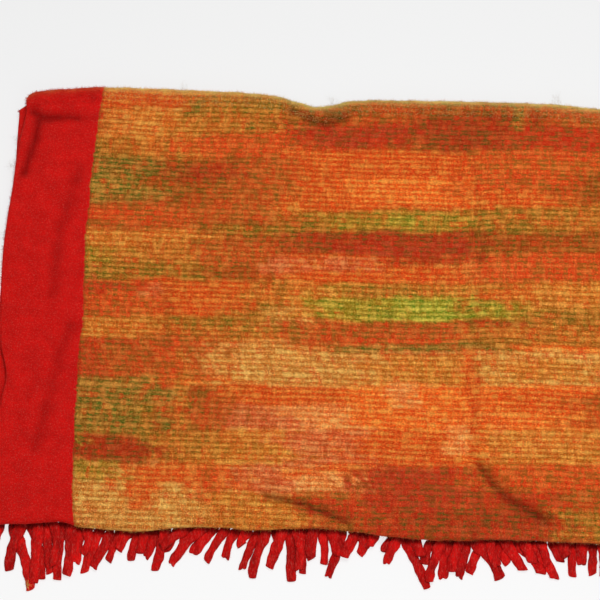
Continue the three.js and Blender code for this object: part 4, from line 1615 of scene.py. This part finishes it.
# %% New node group
def new_group(name, inputs, outputs):
    tree = bpy.data.node_groups.new(name, "ShaderNodeTree")
    for label, kind, value in inputs:
        socket = tree.interface.new_socket(name=label, in_out="INPUT", socket_type=kind)
        if value is not None:
            socket.default_value = value
    for label, kind in outputs:
        tree.interface.new_socket(name=label, in_out="OUTPUT", socket_type=kind)
    enter = tree.nodes.new("NodeGroupInput")
    leave = tree.nodes.new("NodeGroupOutput")
    return tree, enter.outputs, leave.inputs


print("kinds of sockets:", VECTOR, NUMBER, COLOUR)

# %% [markdown]
# Fibre: short hairs of wool that lie to all sides. A noise whose own place is pushed about by a
# second, larger noise gives bent strokes instead of round spots.

# %% Fibre group
fibre_tree, enter, leave = new_group(
    "wool_fibre",
    [
        ("Vector", VECTOR, None),
        ("Scale", NUMBER, 620.0),
        ("Push", NUMBER, 0.0022),
        ("Mottle Scale", NUMBER, 46.0),
    ],
    [("Fibre", NUMBER), ("Mottle", NUMBER)],
)
tree = fibre_tree
push = put(tree, "ShaderNodeTexNoise", {"Vector": enter["Vector"], "Scale": 210.0, "Detail": 2.0})
pushed = vector_calc(tree, "SUBTRACT", {0: push.outputs["Color"], 1: (0.5, 0.5, 0.5)})
pushed = dimmed(tree, pushed, enter["Push"])
bent = vector_calc(tree, "ADD", {0: enter["Vector"], 1: pushed})
strokes = grain(tree, bent, enter["Scale"], 3.0, 0.65, 0.6)
mottle = grain(tree, enter["Vector"], enter["Mottle Scale"], 4.0, 0.6)
lead(tree, leave, {
    "Fibre": ramp(tree, strokes, 0.36, 0.68),
    "Mottle": ramp(tree, mottle, 0.3, 0.7),
})
print("fibre group:", len(tree.nodes), "nodes")

# %% [markdown]
# Felt: the border and the fringe are one crimson, but wool takes dye unevenly. The group darkens
# and lightens the colour in soft clouds and lets single fibres catch more or less of it. A few
# strokes are of a paler fibre that the dye hardly reached.

# %% Felt group
PALE_HAIR = solid(linear((214, 96, 84)))
felt_tree, enter, leave = new_group(
    "felted_wool",
    [
        ("Vector", VECTOR, None),
        ("Color", COLOUR, (0.5, 0.01, 0.01, 1)),
        ("Cloud", NUMBER, 0.16),
        ("Cloud Scale", NUMBER, 46.0),
        ("Hair", NUMBER, 0.2),
    ],
    [("Color", COLOUR), ("Height", NUMBER), ("Roughness", NUMBER), ("Cloud", NUMBER)],
)
tree = felt_tree
fibre = put(
    tree, "ShaderNodeGroup", {"Vector": enter["Vector"], "Mottle Scale": enter["Cloud Scale"]},
    node_tree=fibre_tree,
).outputs
cloud = times_plus(tree, about_zero(tree, fibre["Mottle"]), enter["Cloud"], 1.0)
stroke = times_plus(tree, about_zero(tree, fibre["Fibre"]), enter["Hair"], cloud)
pale_strokes = grain(tree, enter["Vector"], 760.0, 3.0, 0.7, 0.8)
pale_share = ramp(tree, pale_strokes, 0.5, 0.7, 0.0, 0.42)
lead(tree, leave, {
    "Color": blend(tree, pale_share, dimmed(tree, enter["Color"], stroke), PALE_HAIR),
    "Height": fibre["Fibre"],
    "Roughness": times_plus(tree, fibre["Fibre"], 0.12, 0.84),
    "Cloud": fibre["Mottle"],
})
print("felt group:", len(tree.nodes), "nodes")

# %% [markdown]
# Weave: the rows of the body. The weft is thick and shows as one pale dotted line for each row,
# and the dots are where it passes over the warp. Row numbers and column numbers are whole numbers
# from the UV map, so a noise on them changes from yarn to yarn and stays the same along one of
# them. The yarns waver a little, because a hand beats them in.

# %% Weave group: where each yarn lies
weave_tree, enter, leave = new_group(
    "space_dyed_rows",
    [
        ("Vector", VECTOR, None),
        ("Ground", COLOUR, (0.4, 0.1, 0.02, 1)),
        ("Line", COLOUR, (0.6, 0.3, 0.05, 1)),
        ("Fleck", COLOUR, (0.1, 0.08, 0.01, 1)),
        ("Row Pitch", NUMBER, WEFT_PITCH * MM),
        ("Column Pitch", NUMBER, 0.0019),
        ("Wave", NUMBER, 0.0016),
    ],
    [("Color", COLOUR), ("Height", NUMBER), ("Row", NUMBER)],
)
tree = weave_tree
woven_place = enter["Vector"]
split_uv = put(tree, "ShaderNodeSeparateXYZ", {0: woven_place})
u = split_uv.outputs[0]
v = split_uv.outputs[1]
wide_wave = about_zero(tree, grain(tree, woven_place, 24.0, 1.0))
fine_wave = about_zero(tree, grain(tree, woven_place, 210.0, 1.0))
waved = times_plus(tree, wide_wave, enter["Wave"], v)
waved = times_plus(tree, fine_wave, 0.0015, waved)
row = calc(tree, "DIVIDE", waved, enter["Row Pitch"])
row_number = calc(tree, "FLOOR", row)
column_shift = about_zero(tree, grain(tree, woven_place, 260.0, 1.0))
column = calc(tree, "DIVIDE", times_plus(tree, column_shift, 0.0016, u), enter["Column Pitch"])
column_number = calc(tree, "FLOOR", column)


def swell(part):
    """0 at the seams between two yarns and 1 on the middle of a yarn."""
    turn = times(tree, part, 2 * math.pi)
    return times_plus(tree, calc(tree, "COSINE", turn), -0.5, 0.5)


def yarn_noise(across_rate, row_rate, offset, detail=1.0):
    """Noise that changes along the rows and from row to row, by rates for metre and row."""
    along_row = times_plus(tree, u, across_rate, offset)
    spot = triple(tree, along_row, times(tree, row_number, row_rate), offset)
    return grain(tree, spot, 1.0, detail)


row_swell = swell(calc(tree, "FRACT", row))
column_swell = swell(calc(tree, "FRACT", column))
print("yarns:", len(tree.nodes), "nodes")

# %% [markdown]
# The pale line of a row is brightest along the yarn's middle. It comes and goes in dashes, in
# small patches and in specks, because the wool is brushed and the yarn is spun unevenly.

# %% Weave group: the pale line of each row
speck = about_zero(tree, grain(tree, woven_place, 560.0, 2.0, 0.6))
line_core = ramp(tree, row_swell, 0.36, 0.94, 0.07, 0.82)
dots = times_plus(tree, column_swell, 0.34, 0.6)
dashes = ramp(tree, yarn_noise(90.0, 3.7, 4.0), 0.32, 0.64, 0.3, 1.0)
patch_spot = triple(tree, times(tree, u, 190.0), times(tree, v, 120.0), 3.0)
patches = ramp(tree, grain(tree, patch_spot, 1.0, 2.0, 0.6), 0.34, 0.66, 0.5, 1.3)
line_share = times(tree, times(tree, times(tree, line_core, dots), dashes), patches)
line_share = calc(tree, "MULTIPLY_ADD", speck, 1.3, line_share, clamp=True)
dot_light = ramp(tree, lot(tree, row_number, column_number), 0.0, 1.0, 0.9, 1.16)
line_colour = dimmed(tree, enter["Line"], dot_light)
print("with the lines:", len(tree.nodes), "nodes")

# %% [markdown]
# Between the lines the dye is never even. Dark flecks sit in the gaps, single yarns are warmer or
# paler for a few centimetres, and broad clouds of both lie across several rows. The green and
# lime streaks take little of the warm yarn, or they would turn brown.

# %% Weave group: flecks and clouds of the dye
WARM_YARN = solid(linear((214, 46, 14)))
stacked = yarn_noise(210.0, 0.42, 11.0, 2.0)
single = yarn_noise(150.0, 2.9, 23.0)
blob = times_plus(tree, speck, 0.18, times_plus(tree, stacked, 0.5, times(tree, single, 0.5)))
between = ramp(tree, row_swell, 0.9, 0.2, 0.25, 1.0)
fleck_share = times(tree, ramp(tree, blob, 0.45, 0.62, 0.12, 1.0), between)
warm = times_plus(tree, speck, 0.12, yarn_noise(170.0, 0.55, 37.0, 2.0))
warm_share = ramp(tree, warm, 0.50, 0.68, 0.0, 0.55)
pale_share = ramp(tree, yarn_noise(260.0, 0.30, 51.0, 1.0), 0.55, 0.72, 0.0, 0.4)
broad = yarn_noise(64.0, 0.7, 61.0, 2.0)
broad_pale = ramp(tree, broad, 0.50, 0.64, 0.0, 0.56)
broad_dark = ramp(tree, broad, 0.48, 0.34, 0.0, 0.7)
cloud_warm = ramp(tree, yarn_noise(58.0, 0.8, 71.0, 2.0), 0.50, 0.64, 0.0, 0.75)
ground = put(tree, "ShaderNodeSeparateColor", {0: enter["Ground"]}).outputs
greenness = calc(tree, "DIVIDE", ground["Green"], ground["Red"])
takes_warm = ramp(tree, greenness, 0.36, 0.56, 1.0, 0.1)
woven = enter["Ground"]
for share, shade in (
    (times(tree, warm_share, takes_warm), WARM_YARN),
    (times(tree, cloud_warm, takes_warm), WARM_YARN),
    (broad_pale, enter["Line"]),
    (broad_dark, enter["Fleck"]),
    (pale_share, enter["Line"]),
    (fleck_share, enter["Fleck"]),
    (line_share, line_colour),
):
    woven = blend(tree, share, woven, shade)
print("with the clouds:", len(tree.nodes), "nodes")

# %% [markdown]
# Last come the fibres that lie over the rows. They catch the light one by one, and some of them
# are paler than the yarn below. The same fibres and the swell of the yarns give the height for
# the bump.

# %% Weave group: fibres over the rows, colour and height
fibre = put(
    tree, "ShaderNodeGroup", {"Vector": woven_place, "Scale": 900.0}, node_tree=fibre_tree
).outputs["Fibre"]
pale_fibre = ramp(tree, grain(tree, woven_place, 760.0, 2.0, 0.7, 0.5), 0.5, 0.68, 0.0, 0.5)
woven = blend(tree, pale_fibre, woven, dimmed(tree, enter["Line"], 1.35))
cell_light = times_plus(tree, lot(tree, column_number, row_number), 0.14, 0.93)
light = times(tree, cell_light, times_plus(tree, fibre, 0.72, 0.67))
relief = times(tree, row_swell, times_plus(tree, column_swell, 0.4, 0.6))
lead(tree, leave, {
    "Color": dimmed(tree, woven, light),
    "Height": times_plus(tree, fibre, 0.4, times(tree, relief, 0.6)),
    "Row": row_number,
})
print("weave group:", len(tree.nodes), "nodes")

# %% [markdown]
# All the wool shares one dull shader: almost no shine, and a soft sheen from the fibres that
# stand up against the light.

# %% Wool shader
def wool_material(name, sheen, sheen_tint):
    material = bpy.data.materials.new(name)
    material.use_nodes = True
    shader = material.node_tree.nodes["Principled BSDF"].inputs
    shader["Specular IOR Level"].default_value = 0.06
    shader["Sheen Weight"].default_value = sheen
    shader["Sheen Roughness"].default_value = 0.3
    shader["Sheen Tint"].default_value = solid(sheen_tint)
    return material, material.node_tree, shader


def attribute(tree, name, output="Fac"):
    node = put(tree, "ShaderNodeAttribute", attribute_name=name, attribute_type="GEOMETRY")
    return node.outputs[output]


def raised(tree, height, depth, strength):
    wires = {"Height": height, "Distance": depth, "Strength": strength}
    return put(tree, "ShaderNodeBump", wires).outputs["Normal"]


WARM_SHEEN = (1.0, 0.9, 0.6)
RED_SHEEN = (1.0, 0.35, 0.3)
print("sheen tints", WARM_SHEEN, RED_SHEEN)

# %% [markdown]
# The cloth's material puts border and body together. Where they meet, each row ends a little
# earlier or later than the next, and a dark warp runs along the seam, so the line is ragged.

# %% Material of the cloth: border and body
SEAM_DARK = solid(linear((92, 52, 16)))
cloth_material, tree, shader = wool_material("space_dyed_wool", 0.14, WARM_SHEEN)
uv = put(tree, "ShaderNodeUVMap", uv_map="woven").outputs[0]
rows = put(
    tree, "ShaderNodeGroup",
    {
        "Vector": uv,
        "Ground": attribute(tree, "dye_ground", "Color"),
        "Line": attribute(tree, "dye_line", "Color"),
        "Fleck": attribute(tree, "dye_fleck", "Color"),
    },
    node_tree=weave_tree,
).outputs
felt = put(
    tree, "ShaderNodeGroup",
    {"Vector": uv, "Color": solid(BORDER_RED), "Cloud": 0.2, "Hair": 0.24},
    node_tree=felt_tree,
).outputs
row_end = put(tree, "ShaderNodeTexWhiteNoise", {"W": rows["Row"]}, noise_dimensions="1D")
ragged = times_plus(tree, row_end.outputs["Value"], 1.6, -0.8)
ragged_fine = times_plus(tree, grain(tree, uv, 420.0, 3.0), 4.0, -2.0)
ragged = calc(tree, "ADD", ragged, ragged_fine)
body_depth = calc(tree, "ADD", attribute(tree, "into_body"), ragged)
body_share = ramp(tree, body_depth, -0.7, 0.9)
seam = times(tree, ramp(tree, body_depth, -0.6, 0.6), ramp(tree, body_depth, 3.0, 0.8))
body_colour = blend(tree, times(tree, seam, 0.4), rows["Color"], SEAM_DARK)
colour = blend(tree, body_share, felt["Color"], body_colour)
print("border and body:", len(tree.nodes), "nodes")

# %% [markdown]
# Then the painted light: a painted highlight makes the back fold pale, most of all on the striped
# body, and a painted shade darkens the creases.

# %% Material of the cloth: painted highlight, painted shade and relief
# Painted highlight: the back fold is mixed towards a pale straw.
RIM_HIGHLIGHT_PALE = solid(linear((246, 232, 130)))
rim_highlight_share = times(tree, attribute(tree, "rim_highlight"), 0.75)
rim_highlight_share = times(tree, rim_highlight_share, times_plus(tree, body_share, 0.8, 0.2))
colour = blend(tree, rim_highlight_share, colour, RIM_HIGHLIGHT_PALE)
# Painted shade: the creases are darkened, by up to 58 percent.
crease_darkening = times_plus(tree, attribute(tree, "crease_shade"), -0.58, 1.0)
border_height = times(tree, felt["Height"], 0.4)
height_step = calc(tree, "SUBTRACT", rows["Height"], border_height)
surface = times_plus(tree, body_share, height_step, border_height)
lead(tree, shader, {
    "Base Color": dimmed(tree, colour, crease_darkening),
    "Roughness": felt["Roughness"],
    "Normal": raised(tree, surface, 0.0007, 0.6),
})
cloth_mesh.materials.append(cloth_material)
print("cloth material:", len(tree.nodes), "nodes")

# %% [markdown]
# The fringe is the same crimson wool, felted harder. Its pattern reads Object coordinates, drawn
# out along the locks, and each lock has its own tint, because the ends were felted one by one.
# Close to the fold the locks keep a deeper red, where hardly any light comes in.

# %% Material of the fringe
FRINGE_RED = linear((200, 18, 16))
LIGHT_LOCK = solid(FRINGE_RED * 1.2)
DARK_LOCK = solid(FRINGE_RED * 0.84)
ROOT_RED = solid(linear((128, 10, 9)))
fringe_material, tree, shader = wool_material("felted_crimson", 0.04, RED_SHEEN)
place = put(tree, "ShaderNodeTexCoord").outputs["Object"]
drawn = put(tree, "ShaderNodeMapping", {"Vector": place, "Scale": (1.0, 0.35, 1.0)}).outputs[0]
lock_red = blend(tree, attribute(tree, "tint"), DARK_LOCK, LIGHT_LOCK)
lock_red = blend(tree, attribute(tree, "from_fold"), ROOT_RED, lock_red)
felt = put(
    tree, "ShaderNodeGroup",
    {"Vector": drawn, "Color": lock_red, "Cloud": 0.6, "Cloud Scale": 120.0, "Hair": 0.3},
    node_tree=felt_tree,
).outputs
dents = times_plus(tree, felt["Cloud"], 2.6, felt["Height"])
lead(tree, shader, {
    "Base Color": felt["Color"],
    "Roughness": felt["Roughness"],
    "Normal": raised(tree, dents, 0.0006, 0.8),
})
for piece in fringe_pieces.values():
    piece.data.materials.append(fringe_material)
print("fringe material:", len(tree.nodes), "nodes")

# %% [markdown]
# The loose fibres carry their dye with them as an attribute. A slow noise makes some of them
# lighter than others.

# %% Material of the loose fibres
hair_material, tree, shader = wool_material("loose_wool", 0.06, WARM_SHEEN)
place = put(tree, "ShaderNodeTexCoord").outputs["Object"]
hair_light = times_plus(tree, grain(tree, place, 90.0), 0.5, 0.75)
lead(tree, shader, {"Base Color": dimmed(tree, attribute(tree, "hair_dye", "Color"), hair_light)})
shader["Roughness"].default_value = 0.95
for piece in hair_pieces.values():
    piece.data.materials.append(hair_material)
print("materials:", [material.name for material in bpy.data.materials if material.users])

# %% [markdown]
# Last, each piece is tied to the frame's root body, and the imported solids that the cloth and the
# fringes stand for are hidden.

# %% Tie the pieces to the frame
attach(cloth, "root")
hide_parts("blanket_cloth")
for name, piece in fringe_pieces.items():
    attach(piece, "root")
    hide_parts("fringe_" + name)
for name, piece in hair_pieces.items():
    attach(piece, "root")
print(1 + len(fringe_pieces) + len(hair_pieces), "pieces ride on the frame")

# %% Note the visual box, then finish
own_low, own_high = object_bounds()
print("visual box", [round(side * 1000, 1) for side in own_high - own_low], "mm")
